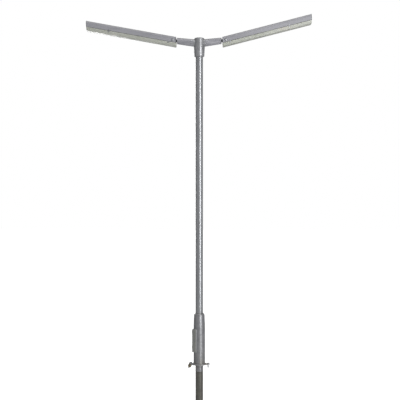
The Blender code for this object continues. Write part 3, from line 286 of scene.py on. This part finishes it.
def addWear(base, colour, tint):
    # rubbed edges, where the surface bends outwards
    tree, edge = base["tree"], wearEdge
    bend = addNode(tree, "ShaderNodeNewGeometry").outputs["Pointiness"]
    broken = addNode(tree, "ShaderNodeMapRange", {
        "Value": base["grain"], "From Min": edge["thin"], "From Max": edge["thick"],
        "To Min": edge["least"] * tint[1], "To Max": tint[1],
    }).outputs[0]
    return addTint(base, colour, bend, (tint[0], broken, edge["start"], edge["full"]))


def addSplash(base, colour, low, high, look):
    # soil and splash marks that fade with height
    tree = base["tree"]
    height = addNode(tree, "ShaderNodeSeparateXYZ", {0: base["where"]}).outputs[2]
    fade = addNode(tree, "ShaderNodeMapRange", {
        "Value": height, "From Min": high, "From Max": low,
    }).outputs[0]
    tint = (look, fade, splashSpots["start"], splashSpots["full"])
    return addTint(base, colour, base["patches"], tint)


def addRuns(base, colour, size, tint):
    # rain runs, drawn out down the surface
    tree = base["tree"]
    drawn = addNode(tree, "ShaderNodeMapping", {
        "Vector": base["where"], "Scale": (1, 1, rainRuns["drawnOut"]),
    }).outputs[0]
    runs = addNode(tree, "ShaderNodeTexNoise", {
        "Vector": drawn, "Scale": 1000 / size, **noises["drawn"],
    }).outputs[0]
    return addTint(base, colour, runs, (*tint, rainRuns["start"], rainRuns["full"]))


def endFinish(base, colour, look, mask, height, start=0.3, full=0.7):
    # roughness drifts between the look's two values with the mask, and the height is the bump
    tree, shader = base["tree"], base["shader"]
    smooth, rough = look["roughness"]
    roughness = addNode(tree, "ShaderNodeMapRange", {
        "Value": mask, "From Min": start, "From Max": full, "To Min": smooth, "To Max": rough,
    })
    bump = addNode(tree, "ShaderNodeBump", {
        "Height": height, "Distance": look["bump"] / 1000, "Strength": 1.0,
    })
    tree.links.new(colour, shader.inputs["Base Color"])
    tree.links.new(roughness.outputs[0], shader.inputs["Roughness"])
    tree.links.new(bump.outputs[0], shader.inputs["Normal"])
    return base["finish"]


# Cast iron under aluminium paint: sand-cast pimples of 2 to 3 mm give a soft silvery sheen
castLook = {
    "patch": 70, "grain": 2.2, "sand": 3.0,
    "ground": "#7d7e81", "patchy": "#98999c", "drift": (0.32, 0.68),
    "pits": ("#6b6c6e", 0.35, 0.5, 0.72), "sandDepth": 0.6,
    "runSize": 26, "runs": ("#74746f", 0.35), "dust": ("#9b988e", 0.5), "wear": ("#bcbdbf", 0.5),
    "splash": "#79746a", "splashLow": 0.02, "splashHigh": 0.20,
    "roughness": (0.32, 0.46), "bump": 0.35, "shader": {"Metallic": 0.55},
}


def makeCastPaint():
    look = castLook
    base = startFinish("aluminiumPaintOnCastIron", look)
    tree = base["tree"]
    sand = addNode(tree, "ShaderNodeTexVoronoi", {
        "Vector": base["where"], "Scale": 1000 / look["sand"],
    }, feature="F1").outputs[0]
    colour = mottle(base, look)
    colour = addTint(base, colour, base["grain"], look["pits"])
    colour = addRuns(base, colour, look["runSize"], look["runs"])
    colour = addSplash(base, colour, look["splashLow"], look["splashHigh"], look["splash"])
    colour = addDust(base, colour, look["dust"])
    colour = addWear(base, colour, look["wear"])
    height = addNode(tree, "ShaderNodeMath", {0: sand, 1: look["sandDepth"], 2: base["grain"]},
                     operation="MULTIPLY_ADD").outputs[0]
    return endFinish(base, colour, look, base["patches"], height)


# Drawn steel pole, spray painted: long faint streaks and a fine orange peel of about 1.5 mm
poleLook = {
    "patch": 45, "grain": 1.5, "peel": 1.5, "stretch": (1, 1, 0.12),
    "ground": "#87898c", "patchy": "#9c9ea1",
    "runSize": 14, "runs": ("#76776f", 0.3), "dust": ("#9b988e", 0.4),
    "roughness": (0.30, 0.38), "bump": 0.03, "shader": {"Metallic": 0.55},
}


def makePolePaint():
    look = poleLook
    base = startFinish("greySprayPaintOnDrawnSteel", look)
    peel = addNode(base["tree"], "ShaderNodeTexNoise", {
        "Vector": base["where"], "Scale": 1000 / look["peel"], **noises["peel"],
    }).outputs[0]
    colour = mottle(base, look)
    colour = addRuns(base, colour, look["runSize"], look["runs"])
    colour = addDust(base, colour, look["dust"])
    return endFinish(base, colour, look, base["patches"], peel)


# Pressed steel door, brush painted: brush lines up and down, a greener grey, chips along the edges
doorLook = {
    "patch": 60, "grain": 1.6, "stretch": (1, 1, 0.05),
    "ground": "#7c7e76", "patchy": "#8f9189",
    "runSize": 12, "runs": ("#6a6a60", 0.4), "wear": ("#b5b6b3", 0.8),
    "roughness": (0.42, 0.6), "bump": 0.12, "shader": {"Metallic": 0.25},
}


def makeDoorPaint():
    look = doorLook
    base = startFinish("brushPaintOnSteelDoor", look)
    colour = mottle(base, look)
    colour = addRuns(base, colour, look["runSize"], look["runs"])
    colour = addWear(base, colour, look["wear"])
    return endFinish(base, colour, look, base["grain"], base["grain"])


# Bitumen coat, brushed on thick: near black with a brown cast, lumpy, with a soft gloss
rootLook = {
    "patch": 90, "grain": 6.0, "brush": 4.0, "drawnOut": 0.08,
    "ground": "#4a4944", "patchy": "#5d5b53", "drift": (0.35, 0.7),
    "soil": ("#6d6656", 0.7, 0.62, 0.75), "lumpDepth": 0.7,
    "roughness": (0.22, 0.38), "bump": 0.4,
    "shader": {"Metallic": 0.0, "Coat Weight": 0.6, "Coat Roughness": 0.28},
}


def makeRootCoat():
    look = rootLook
    base = startFinish("brushedBitumenCoat", look)
    tree = base["tree"]
    drawn = addNode(tree, "ShaderNodeMapping", {
        "Vector": base["where"], "Scale": (1, 1, look["drawnOut"]),
    }).outputs[0]
    brush = addNode(tree, "ShaderNodeTexNoise", {
        "Vector": drawn, "Scale": 1000 / look["brush"], **noises["drawn"],
    }).outputs[0]
    colour = mottle(base, look)
    colour = addTint(base, colour, base["patches"], look["soil"])
    height = addNode(tree, "ShaderNodeMath", {0: base["grain"], 1: look["lumpDepth"], 2: brush},
                     operation="MULTIPLY_ADD").outputs[0]
    return endFinish(base, colour, look, brush, height)


# Extruded aluminium arm, left bare: lengthwise die lines, dull bloom of oxide in patches
armLook = {
    "patch": 40, "grain": 1.2, "stretch": (0.05, 1, 1), "turn": 7,
    "ground": "#86868c", "patchy": "#a0a0a5", "drift": (0.32, 0.68),
    "lines": ("#717178", 0.4, 0.5, 0.7), "dust": ("#9d9b95", 0.5),
    "roughness": (0.44, 0.58), "bump": 0.12, "shader": {"Metallic": 0.45},
}


def makeArmMetal(sideName):
    look = armLook
    base = startFinish("weatheredExtrudedAluminium" + sideName.capitalize(), look,
                       -look["turn"] * sides[sideName])
    colour = mottle(base, look)
    colour = addTint(base, colour, base["grain"], look["lines"])
    colour = addDust(base, colour, look["dust"])
    return endFinish(base, colour, look, base["grain"], base["grain"])


# Sheet aluminium canopy under stoved paint: smooth, faintly violet grey, chalky dust on top
housingLook = {
    "patch": 120, "grain": 1.4, "peel": 1.4, "stretch": (0.25, 1, 1),
    "ground": "#78787e", "patchy": "#87878d",
    "runSize": 18, "runs": ("#7f7e7a", 0.35), "dust": ("#a09f9b", 0.6), "wear": ("#b9b9bd", 0.3),
    "roughness": (0.48, 0.6), "bump": 0.03, "shader": {"Metallic": 0.15},
}


def makeHousingPaint(sideName):
    look = housingLook
    base = startFinish("stovedPaintOnSheetAluminium" + sideName.capitalize(), look,
                       -lanternTurn * sides[sideName])
    peel = addNode(base["tree"], "ShaderNodeTexNoise", {
        "Vector": base["where"], "Scale": 1000 / look["peel"], **noises["peel"],
    }).outputs[0]
    colour = mottle(base, look)
    colour = addRuns(base, colour, look["runSize"], look["runs"])
    colour = addDust(base, colour, look["dust"])
    colour = addWear(base, colour, look["wear"])
    return endFinish(base, colour, look, base["patches"], peel)


# Moulded ABS end cap: even dark grey with a spark texture of about 1 mm, greyed on top by the sun
capLook = {
    "patch": 30, "grain": 1.0,
    "ground": "#4a4a4d", "patchy": "#5c5c60", "dust": ("#85857f", 0.8), "wear": ("#77777a", 0.5),
    "roughness": (0.45, 0.62), "bump": 0.1, "shader": {"Metallic": 0.0, "IOR": 1.54},
}


def makeCapPlastic():
    look = capLook
    base = startFinish("sparkTexturedAbs", look)
    colour = mottle(base, look)
    colour = addDust(base, colour, look["dust"])
    colour = addWear(base, colour, look["wear"])
    return endFinish(base, colour, look, base["grain"], base["grain"])


# Opal acrylic cover with lengthwise prisms 5 mm apart: milky, a little yellowed, with rain runs
coverLook = {
    "patch": 150, "grain": 2.0, "prism": 5.0, "stretch": (0.3, 1, 1),
    "ground": "#a3a69c", "patchy": "#b3b4ad", "yellowed": ("#b3a898", 0.5, 0.58, 0.72),
    "runSize": 22, "runs": ("#8f8f86", 0.35), "grainDepth": 0.1,
    "roughness": (0.38, 0.5), "bump": 0.2,
    "shader": {"Metallic": 0.0, "IOR": 1.49, "Subsurface Weight": 0.25,
               "Subsurface Radius": (0.006, 0.006, 0.005), "Subsurface Scale": 1.0},
}


def makeCoverPlastic(sideName):
    look = coverLook
    base = startFinish("opalPrismaticAcrylic" + sideName.capitalize(), look,
                       -lanternTurn * sides[sideName])
    tree = base["tree"]
    prisms = addNode(tree, "ShaderNodeTexWave", {
        "Vector": base["turned"], "Scale": waveScale(look["prism"]),
    }, wave_type="BANDS", bands_direction="Y", wave_profile="TRI").outputs[1]
    colour = mottle(base, look)
    colour = addTint(base, colour, base["patches"], look["yellowed"])
    colour = addRuns(base, colour, look["runSize"], look["runs"])
    height = addNode(tree, "ShaderNodeMath", {0: base["grain"], 1: look["grainDepth"], 2: prisms},
                     operation="MULTIPLY_ADD").outputs[0]
    return endFinish(base, colour, look, base["patches"], height)


def waveScale(spacing):
    # the wave texture's scale for bands this many millimetres apart
    return 1000 / spacing * 0.05 * math.pi


# EPDM sponge gasket: dull black with fine pores
gasketLook = {
    "patch": 20, "grain": 0.8, "ground": "#232323", "patchy": "#363634",
    "roughness": (0.75, 0.92), "bump": 0.12, "shader": {"Metallic": 0.0, "IOR": 1.48},
}


def makeGasketRubber():
    look = gasketLook
    base = startFinish("epdmSpongeRubber", look)
    colour = mottle(base, look)
    return endFinish(base, colour, look, base["grain"], base["grain"])


# White enamelled gear tray: glossy, clean, faint heat yellowing in patches
trayLook = {
    "patch": 160, "grain": 2.5, "ground": "#e9e9e4", "patchy": "#dcd8c8", "drift": (0.35, 0.7),
    "roughness": (0.25, 0.38), "bump": 0.03, "shader": {"Metallic": 0.0},
}


def makeTrayEnamel():
    look = trayLook
    base = startFinish("whiteEnamelOnSteel", look)
    colour = mottle(base, look)
    return endFinish(base, colour, look, base["patches"], base["grain"])


# Varnished steel laminations of the ballast: dark lines, drawn 2 mm apart to show, on a grey coat
ballastLook = {
    "patch": 25, "grain": 1.0, "sheets": 2.0,
    "ground": "#74706a", "patchy": "#8b867d", "lines": ("#35322e", 0.55, 0.35, 0.0),
    "roughness": (0.3, 0.5), "bump": 0.15, "shader": {"Metallic": 0.35},
}


def makeBallastVarnish(sideName):
    look = ballastLook
    base = startFinish("varnishedLaminations" + sideName.capitalize(), look,
                       -lanternTurn * sides[sideName])
    tree = base["tree"]
    sheets = addNode(tree, "ShaderNodeTexWave", {
        "Vector": base["turned"], "Scale": waveScale(look["sheets"]),
    }, wave_type="BANDS", bands_direction="Z").outputs[1]
    colour = mottle(base, look)
    colour = addTint(base, colour, sheets, look["lines"])
    height = addNode(tree, "ShaderNodeMath", {0: sheets, 1: base["grain"]}, operation="ADD")
    return endFinish(base, colour, look, base["patches"], height.outputs[0])


# Phosphor-coated lamp glass: even milk white under a high gloss
lampLook = {
    "patch": 40, "grain": 6.0, "ground": "#f1f2ee", "patchy": "#e4e6e1",
    "roughness": (0.12, 0.2), "bump": 0.01,
    "shader": {"Metallic": 0.0, "Coat Weight": 1.0, "Coat Roughness": 0.05},
}


def makeLampGlass():
    look = lampLook
    base = startFinish("phosphorCoatedGlass", look)
    colour = mottle(base, look)
    return endFinish(base, colour, look, base["patches"], base["grain"])


# Moulded polycarbonate of lamp holders and fuse carriers: warm white, fine matt texture
holderLook = {
    "patch": 18, "grain": 0.9, "ground": "#dedcd2", "patchy": "#cfcbbd",
    "roughness": (0.38, 0.5), "bump": 0.06, "shader": {"Metallic": 0.0, "IOR": 1.58},
}


def makeHolderPlastic():
    look = holderLook
    base = startFinish("mouldedWhitePolycarbonate", look)
    colour = mottle(base, look)
    return endFinish(base, colour, look, base["grain"], base["grain"])


# Ductile iron knuckle in dark dip paint: coarse cast skin of about 2 mm, shiny high spots
knuckleLook = {
    "patch": 30, "grain": 2.0, "ground": "#3d3d40", "patchy": "#545458", "wear": ("#8a8a8d", 0.7),
    "roughness": (0.38, 0.55), "bump": 0.3, "shader": {"Metallic": 0.5},
}


def makeKnuckleIron():
    look = knuckleLook
    base = startFinish("dipPaintedDuctileIron", look)
    colour = mottle(base, look)
    colour = addWear(base, colour, look["wear"])
    return endFinish(base, colour, look, base["grain"], base["grain"])


# Hot-dip zinc on bolts and brackets: spangles about 4 mm across, dull grey bloom in patches
zincLook = {
    "patch": 12, "grain": 0.8, "spangle": 4.0,
    "ground": "#9a9ca0", "patchy": "#c6c8cb", "bloom": ("#8b8a86", 0.6, 0.55, 0.75),
    "roughness": (0.28, 0.45), "bump": 0.03, "shader": {"Metallic": 1.0},
}


def makeZinc():
    look = zincLook
    base = startFinish("hotDipZinc", look)
    tree = base["tree"]
    cells = addNode(tree, "ShaderNodeTexVoronoi", {
        "Vector": base["where"], "Scale": 1000 / look["spangle"],
    }).outputs["Color"]
    shade = addNode(tree, "ShaderNodeSeparateColor", {0: cells}).outputs[0]
    colour = addTint(base, hexColour(look["ground"]), shade, (look["patchy"], 1.0, 0.0, 1.0))
    colour = addTint(base, colour, base["patches"], look["bloom"])
    return endFinish(base, colour, look, shade, base["grain"], 0.0, 1.0)


# Weathered brass: brown tarnish with bright rubbed edges and a little verdigris
brassLook = {
    "patch": 10, "grain": 0.8,
    "ground": "#6d675a", "patchy": "#857d6b",
    "verdigris": ("#62685f", 0.6, 0.62, 0.75), "wear": ("#a3987c", 0.4),
    "roughness": (0.3, 0.5), "bump": 0.05, "shader": {"Metallic": 1.0},
}


def makeBrass():
    look = brassLook
    base = startFinish("tarnishedBrass", look)
    colour = mottle(base, look)
    colour = addTint(base, colour, base["patches"], look["verdigris"])
    colour = addWear(base, colour, look["wear"])
    return endFinish(base, colour, look, base["grain"], base["grain"])


# Moulded phenolic fuse box: dark grey with faint flow marks and a polished skin
fuseLook = {
    "patch": 35, "grain": 1.2, "ground": "#4c4f52", "patchy": "#5f6265", "dust": ("#8c8981", 0.4),
    "roughness": (0.3, 0.42), "bump": 0.04, "shader": {"Metallic": 0.0, "IOR": 1.6},
}


def makeFusePhenolic():
    look = fuseLook
    base = startFinish("mouldedGreyPhenolic", look)
    colour = mottle(base, look)
    colour = addDust(base, colour, look["dust"])
    return endFinish(base, colour, look, base["patches"], base["grain"])


# PVC cable sheath: soft black with fine lines along it and scuffs
cableLook = {
    "patch": 30, "grain": 0.7, "stretch": (1, 1, 0.1), "ground": "#1d1d1e", "patchy": "#2c2c2d",
    "roughness": (0.4, 0.55), "bump": 0.05, "shader": {"Metallic": 0.0, "IOR": 1.53},
}


def makeCablePvc():
    look = cableLook
    base = startFinish("blackPvcSheath", look)
    colour = mottle(base, look)
    return endFinish(base, colour, look, base["grain"], base["grain"])


castPaint = makeCastPaint()
polePaint = makePolePaint()
doorPaint = makeDoorPaint()
rootCoat = makeRootCoat()
armMetal = {sideName: makeArmMetal(sideName) for sideName in sides}
housingPaint = {sideName: makeHousingPaint(sideName) for sideName in sides}
capPlastic = makeCapPlastic()
coverPlastic = {sideName: makeCoverPlastic(sideName) for sideName in sides}
gasketRubber = makeGasketRubber()
trayEnamel = makeTrayEnamel()
ballastVarnish = {sideName: makeBallastVarnish(sideName) for sideName in sides}
lampGlass = makeLampGlass()
holderPlastic = makeHolderPlastic()
knuckleIron = makeKnuckleIron()
zinc = makeZinc()
brass = makeBrass()
fusePhenolic = makeFusePhenolic()
cablePvc = makeCablePvc()
print("finishes made")

# Solids that keep their CAD shape: merged copies with eased edges and smooth rounds


easing = {
    "merge": 0.00002,  # metres between corners that are one
    "flat": 0.4,  # degrees
    "sharp": 34,
    "smooth": 38,
    "rounds": 2,
    "evenness": 100,
}


def setFinish(piece, finish):
    piece.data.materials.clear()
    piece.data.materials.append(finish)


def ease(piece, width=0.0):
    # a small round on each sharp edge, then smooth shading between them
    if width:
        pick(piece)
        bevel = piece.modifiers.new("easedEdges", "BEVEL")
        bevel.width = width
        bevel.segments = easing["rounds"]
        bevel.limit_method = "ANGLE"
        bevel.angle_limit = math.radians(easing["sharp"])
        bpy.ops.object.modifier_apply(modifier=bevel.name)
    pick(piece)
    bpy.ops.object.shade_smooth_by_angle(angle=math.radians(easing["smooth"]))
    # broad faces keep their own direction, so the light on them stays even
    even = piece.modifiers.new("evenFaces", "WEIGHTED_NORMAL")
    even.keep_sharp = True
    even.weight = easing["evenness"]
    bpy.ops.object.modifier_apply(modifier=even.name)


def copyNode(node, name, finish, width):
    source = nodes[node]
    piece = bpy.data.objects.new(name, source.data.copy())
    scene.collection.objects.link(piece)
    pick(piece)
    bpy.ops.object.mode_set(mode="EDIT")
    bpy.ops.mesh.select_all(action="SELECT")
    bpy.ops.mesh.customdata_custom_splitnormals_clear()
    bpy.ops.mesh.remove_doubles(threshold=easing["merge"])
    bpy.ops.mesh.dissolve_limited(angle_limit=math.radians(easing["flat"]))
    bpy.ops.object.mode_set(mode="OBJECT")
    ease(piece, width)
    setFinish(piece, finish)
    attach(piece, source["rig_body"])
    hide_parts(node)


kept = {  # node: new name, finish, slot, edge round in metres
    "base_section": ("baseCasting", castPaint, "cast_grey", 0.0012),
    "ground_flange": ("groundFlange", castPaint, "cast_grey", 0.0015),
    "hub_collar": ("hubCollar", castPaint, "cast_grey", 0.0015),
    "arm_head": ("armHead", castPaint, "cast_grey", 0.0012),
    "head_cap": ("headCap", castPaint, "cast_grey", 0.0012),
    "pole_shaft": ("poleShaft", polePaint, "pole_grey", 0.0005),
    "root_tube": ("rootTube", rootCoat, "root_black", 0.0008),
    "service_door": ("serviceDoor", doorPaint, "door_grey", 0.0004),
    "door_lock": ("doorLock", zinc, "zinc", 0.0005),
    "door_hinge_pin": ("doorHingePin", zinc, "zinc", 0.0003),
    "anchor_bolt": ("anchorBolt", zinc, "zinc", 0.0006),
    "earth_bolt": ("earthBolt", zinc, "zinc", 0.0006),
    "earth_clamp": ("earthClamp", brass, "brass", 0.0006),
    "earth_stud": ("earthStud", brass, "brass", 0.0005),
    "equipment_rail": ("equipmentRail", zinc, "zinc", 0.0003),
    "fuse_box": ("fuseBox", fusePhenolic, "fuse_grey", 0.0004),
    "fuse_cover": ("fuseCover", fusePhenolic, "fuse_grey", 0.0004),
    "fuse_carrier": ("fuseCarrier", holderPlastic, "holder_white", 0.0005),
    "hub_screw_front": ("hubScrewFront", zinc, "zinc", 0.0005),
    "hub_screw_back": ("hubScrewBack", zinc, "zinc", 0.0005),
}
for sideName in sides:
    end = sideName.capitalize()
    kept.update({
        "arm_" + sideName: ("arm" + end, armMetal[sideName], "arm_grey", 0.0008),
        "arm_bolt_upper_" + sideName: ("armBoltUpper" + end, zinc, "zinc", 0.0005),
        "arm_bolt_lower_" + sideName: ("armBoltLower" + end, zinc, "zinc", 0.0005),
        "tilt_knuckle_" + sideName: ("tiltKnuckle" + end, knuckleIron, "knuckle_dark", 0.001),
        "tilt_bolt_" + sideName: ("tiltBolt" + end, zinc, "zinc", 0.0005),
        "mounting_bracket_" + sideName: ("mountingBracket" + end, zinc, "zinc", 0.0006),
        "housing_" + sideName: ("housing" + end, housingPaint[sideName], "housing_grey", 0.0006),
        "end_cap_inner_" + sideName: ("endCapInner" + end, capPlastic, "end_cap_dark", 0.0015),
        "end_cap_outer_" + sideName: ("endCapOuter" + end, capPlastic, "end_cap_dark", 0.0015),
        "gasket_" + sideName: ("gasket" + end, gasketRubber, "gasket_black", 0.0004),
        "hinge_rod_" + sideName: ("hingeRod" + end, zinc, "zinc", 0.0004),
        "gear_tray_" + sideName: ("gearTray" + end, trayEnamel, "tray_white", 0.0003),
        "ballast_" + sideName: ("ballast" + end, ballastVarnish[sideName], "ballast_grey", 0.0004),
        "lamp_tube_" + sideName: ("lampTube" + end, lampGlass, "lamp_glass", 0.0005),
        "lamp_holder_inner_" + sideName: ("lampHolderInner" + end, holderPlastic, "holder_white", 0.0005),
        "lamp_holder_outer_" + sideName: ("lampHolderOuter" + end, holderPlastic, "holder_white", 0.0005),
        "cover_" + sideName: ("cover" + end, coverPlastic[sideName], "opal_cover", 0.0005),
        "cover_catch_inner_" + sideName: ("coverCatchInner" + end, zinc, "zinc", 0.0005),
        "cover_catch_outer_" + sideName: ("coverCatchOuter" + end, zinc, "zinc", 0.0005),
        "lead_cable_" + sideName: ("leadCable" + end, cablePvc, "cable_black", 0.0),
    })
for node, (name, finish, slot, width) in kept.items():
    copyNode(node, name, finish, width)
print("CAD solids eased:", len(kept))

# New small parts, in metres


def turnShape(profile, corners):
    # (radius, height) pairs drawn up from a filled circle
    deselectAll()
    radius, height = profile[0]
    bpy.ops.mesh.primitive_circle_add(vertices=corners, radius=radius, fill_type="NGON",
                                      location=(0, 0, 0))
    shape = bpy.context.object
    bpy.ops.object.mode_set(mode="EDIT")
    bpy.ops.mesh.select_all(action="SELECT")
    bpy.ops.transform.translate(value=(0, 0, height))
    for nextRadius, nextHeight in profile[1:]:
        rise = (0, 0, nextHeight - height)
        bpy.ops.mesh.extrude_region_move(TRANSFORM_OT_translate={"value": rise})
        size = nextRadius / radius
        bpy.ops.transform.resize(value=(size, size, 1), center_override=(0, 0, 0))
        radius, height = nextRadius, nextHeight
    bpy.ops.mesh.select_all(action="SELECT")
    bpy.ops.mesh.normals_make_consistent(inside=False)
    bpy.ops.object.mode_set(mode="OBJECT")
    return shape


def barShape(corners, length, tall, wide, **ends):
    # an oval bar along Z that the ribs and swages are cut from
    deselectAll()
    bpy.ops.mesh.primitive_cylinder_add(vertices=corners, radius=1, depth=length,
                                        location=(0, 0, 0), **ends)
    shape = bpy.context.object
    shape.data.transform(Matrix.Diagonal((tall, wide, 1, 1)))
    return shape


def placeCopy(shape, name, place):
    # a copy with its own mesh, put in place
    piece = bpy.data.objects.new(name, shape.data.copy())
    scene.collection.objects.link(piece)
    piece.data.transform(place)
    return piece


def finishPiece(piece, finish, body):
    ease(piece)
    setFinish(piece, finish)
    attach(piece, body)


def joinPieces(pieces):
    pick(*pieces)
    bpy.ops.object.join()
    return bpy.context.object


def nodeCorners(node):
    source = nodes[node]
    return [source.matrix_world @ vert.co for vert in source.data.vertices]


def outwardsPlace(point, run, side):
    # X outwards along the run, Z up, from this point
    across = Vector((0, side, 0))
    turn = Matrix((run, across, run.cross(across))).transposed().to_4x4()
    return Matrix.Translation(point) @ turn


def lanternPlace(sideName):
    # from the lantern's tilt axis
    side = sides[sideName]
    run = Vector(joints["cover_hinge_" + sideName]["axis"]) * side
    return outwardsPlace(joints["lantern_tilt_" + sideName]["pos_m"], run, side)


def armPlace(sideName):
    # from where the two arm axes meet
    side = sides[sideName]
    rise = math.radians(armRibs["rise"])
    run = Vector((side * math.cos(rise), 0, math.sin(rise)))
    return outwardsPlace((0, 0, armRibs["height"]), run, side)


def towards(direction, point):
    # Z along this direction, from this point
    return Matrix.Translation(point) @ Vector(direction).to_track_quat("Z", "Y").to_matrix().to_4x4()


# Ribs along each arm, which sink into it as it tapers
armRibs = {
    "height": 4.441,
    "rise": 7.0,
    "count": 26,
    "start": 0.136,
    "end": 0.296,
    "startRadius": 0.0488,
    "endRadius": 0.0433,
    "width": 0.0042,
    "proud": 0.0011,
    "sunk": 0.0012,
    "corners": 12,
}


def makeArmRibs():
    look = armRibs
    middle = (look["start"] + look["end"]) / 2
    length = look["end"] - look["start"]
    radius = (look["startRadius"] + look["endRadius"]) / 2
    lean = math.atan((look["startRadius"] - look["endRadius"]) / length)
    rib = barShape(look["corners"], length, look["proud"] + look["sunk"], look["width"] / 2,
                   end_fill_type="TRIFAN")
    lying = Matrix.Translation((middle, 0, radius - look["sunk"])) @ Matrix.Rotation(lean, 4, "Y")
    lying = lying @ Matrix.Rotation(math.pi / 2, 4, "Y") @ Matrix.Rotation(math.pi, 4, "Z")
    for sideName in sides:
        ribs = []
        for number in range(look["count"]):
            around = Matrix.Rotation(2 * math.pi * number / look["count"], 4, "X")
            place = armPlace(sideName) @ around @ lying
            ribs.append(placeCopy(rib, "armRibs" + sideName.capitalize(), place))
        finishPiece(joinPieces(ribs), armMetal[sideName], "root")
    bpy.data.objects.remove(rib)


# Domed cap over the tilt bolt on the housing's front, with its rubber washer
pivotCap = {
    "face": 0.0752,
    "height": -0.004,
    "dome": [(0.0150, 0.0010), (0.0150, 0.0026), (0.0135, 0.0042), (0.0098, 0.0056),
             (0.0045, 0.0062)],
    "washer": [(0.0185, 0.0), (0.0185, 0.0012), (0.0172, 0.0020), (0.0150, 0.0020)],
    "corners": 40,
}


def makePivotCaps():
    washer = turnShape(pivotCap["washer"], pivotCap["corners"])
    dome = turnShape(pivotCap["dome"], pivotCap["corners"])
    for sideName, side in sides.items():
        face = (0, -side * pivotCap["face"], pivotCap["height"])
        place = lanternPlace(sideName) @ towards((0, -side, 0), face)
        end, body = sideName.capitalize(), "lantern_" + sideName
        finishPiece(placeCopy(washer, "pivotWasher" + end, place), gasketRubber, body)
        finishPiece(placeCopy(dome, "pivotDome" + end, place), zinc, body)
    bpy.data.objects.remove(washer)
    bpy.data.objects.remove(dome)


# Pan-head screws with a socket, four on each outer end cap
endScrews = {
    "head": [(0.0020, 0.0010), (0.0022, 0.0024), (0.0034, 0.0024), (0.0046, 0.0016),
             (0.0050, 0.0006), (0.0050, 0.0)],
    "corners": 20,
    "across": 0.048,
    "heights": (-0.018, 0.014),
    "plumb": 12.3,  # degrees the end face leans from square
    "sunk": 0.0015,
}


def makeEndScrews():
    # on the outer end cap's face, which passes through its outermost corner
    look = endScrews
    screw = turnShape(look["head"], look["corners"])
    lean = math.radians(look["plumb"])
    normal = Vector((math.cos(lean), 0, -math.sin(lean)))
    for sideName in sides:
        place = lanternPlace(sideName)
        inner = place.inverted()
        corners = [inner @ corner for corner in nodeCorners("end_cap_outer_" + sideName)]
        reach = max(corner.x * normal.x + corner.z * normal.z for corner in corners)
        for which, across in (("Front", -look["across"]), ("Back", look["across"])):
            for number, height in enumerate(look["heights"], 1):
                x = (reach - look["sunk"] - height * normal.z) / normal.x
                name = f"endScrew{sideName.capitalize()}{which}{number}"
                head = placeCopy(screw, name, place @ towards(normal, (x, across, height)))
                finishPiece(head, zinc, "lantern_" + sideName)
    bpy.data.objects.remove(screw)


# Lengthwise stiffening swages on the housing's roof
roofSwage = {
    "start": 0.02,
    "end": 1.15,
    "across": (-0.024, 0.0, 0.024),
    "roof": 0.050,
    "width": 0.0085,
    "proud": 0.0016,
    "depth": 0.0024,
    "corners": 20,
}


def makeRoofSwages():
    look = roofSwage
    length = look["end"] - look["start"]
    middle = (look["start"] + look["end"]) / 2
    swage = barShape(look["corners"], length, look["depth"], look["width"] / 2)
    for sideName in sides:
        swages = []
        for across in look["across"]:
            lying = Matrix.Translation((middle, across, look["roof"] - look["proud"] / 2))
            place = lanternPlace(sideName) @ lying @ Matrix.Rotation(math.pi / 2, 4, "Y")
            swages.append(placeCopy(swage, "roofSwages" + sideName.capitalize(), place))
        finishPiece(joinPieces(swages), housingPaint[sideName], "lantern_" + sideName)
    bpy.data.objects.remove(swage)


# Sealant bead where the pole leaves the base, and the weld where the neck meets the root
beads = {
    "sealantBead": {"radius": 0.0522, "thick": 0.0026, "height": 0.7118, "tall": 1.35},
    "neckWeld": {"radius": 0.0530, "thick": 0.0023, "height": -0.0850, "tall": 1.5},
}
beadCorners = (96, 12)  # around the post, and around the bead


def makeBead(name, finish):
    look = beads[name]
    deselectAll()
    bpy.ops.mesh.primitive_torus_add(
        major_radius=look["radius"], minor_radius=look["thick"],
        major_segments=beadCorners[0], minor_segments=beadCorners[1], location=(0, 0, 0))
    bead = bpy.context.object
    bead.name = name
    bpy.ops.object.mode_set(mode="EDIT")
    bpy.ops.mesh.select_all(action="SELECT")
    bpy.ops.transform.resize(value=(1, 1, look["tall"]), center_override=(0, 0, 0))
    bpy.ops.transform.translate(value=(0, 0, look["height"]))
    bpy.ops.object.mode_set(mode="OBJECT")
    finishPiece(bead, finish, "root")


# Metal ferrules on the lamp, which the glass runs into
ferrule = {
    "length": 0.016,
    "radius": 0.0083,
    "lip": 0.0010,
    "corners": 32,
}


def makeFerrules():
    radius, lip, length = ferrule["radius"], ferrule["lip"], ferrule["length"]
    profile = [(radius - lip, 0), (radius, lip), (radius, length - lip), (radius - lip, length)]
    ring = turnShape(profile, ferrule["corners"])
    for sideName in sides:
        place = lanternPlace(sideName)
        inner = place.inverted()
        reach = [inner @ corner for corner in nodeCorners("lamp_tube_" + sideName)]
        start, end = min(v.x for v in reach), max(v.x for v in reach)
        height = (min(v.z for v in reach) + max(v.z for v in reach)) / 2
        for which, x, run in (("Inner", start, 1), ("Outer", end, -1)):
            name = f"lampFerrule{which}{sideName.capitalize()}"
            piece = placeCopy(ring, name, place @ towards((run, 0, 0), (x, 0, height)))
            finishPiece(piece, zinc, "lantern_" + sideName)
    bpy.data.objects.remove(ring)


makeArmRibs()
makePivotCaps()
makeEndScrews()
makeRoofSwages()
makeFerrules()
makeBead("sealantBead", gasketRubber)
makeBead("neckWeld", castPaint)
print("small parts made")
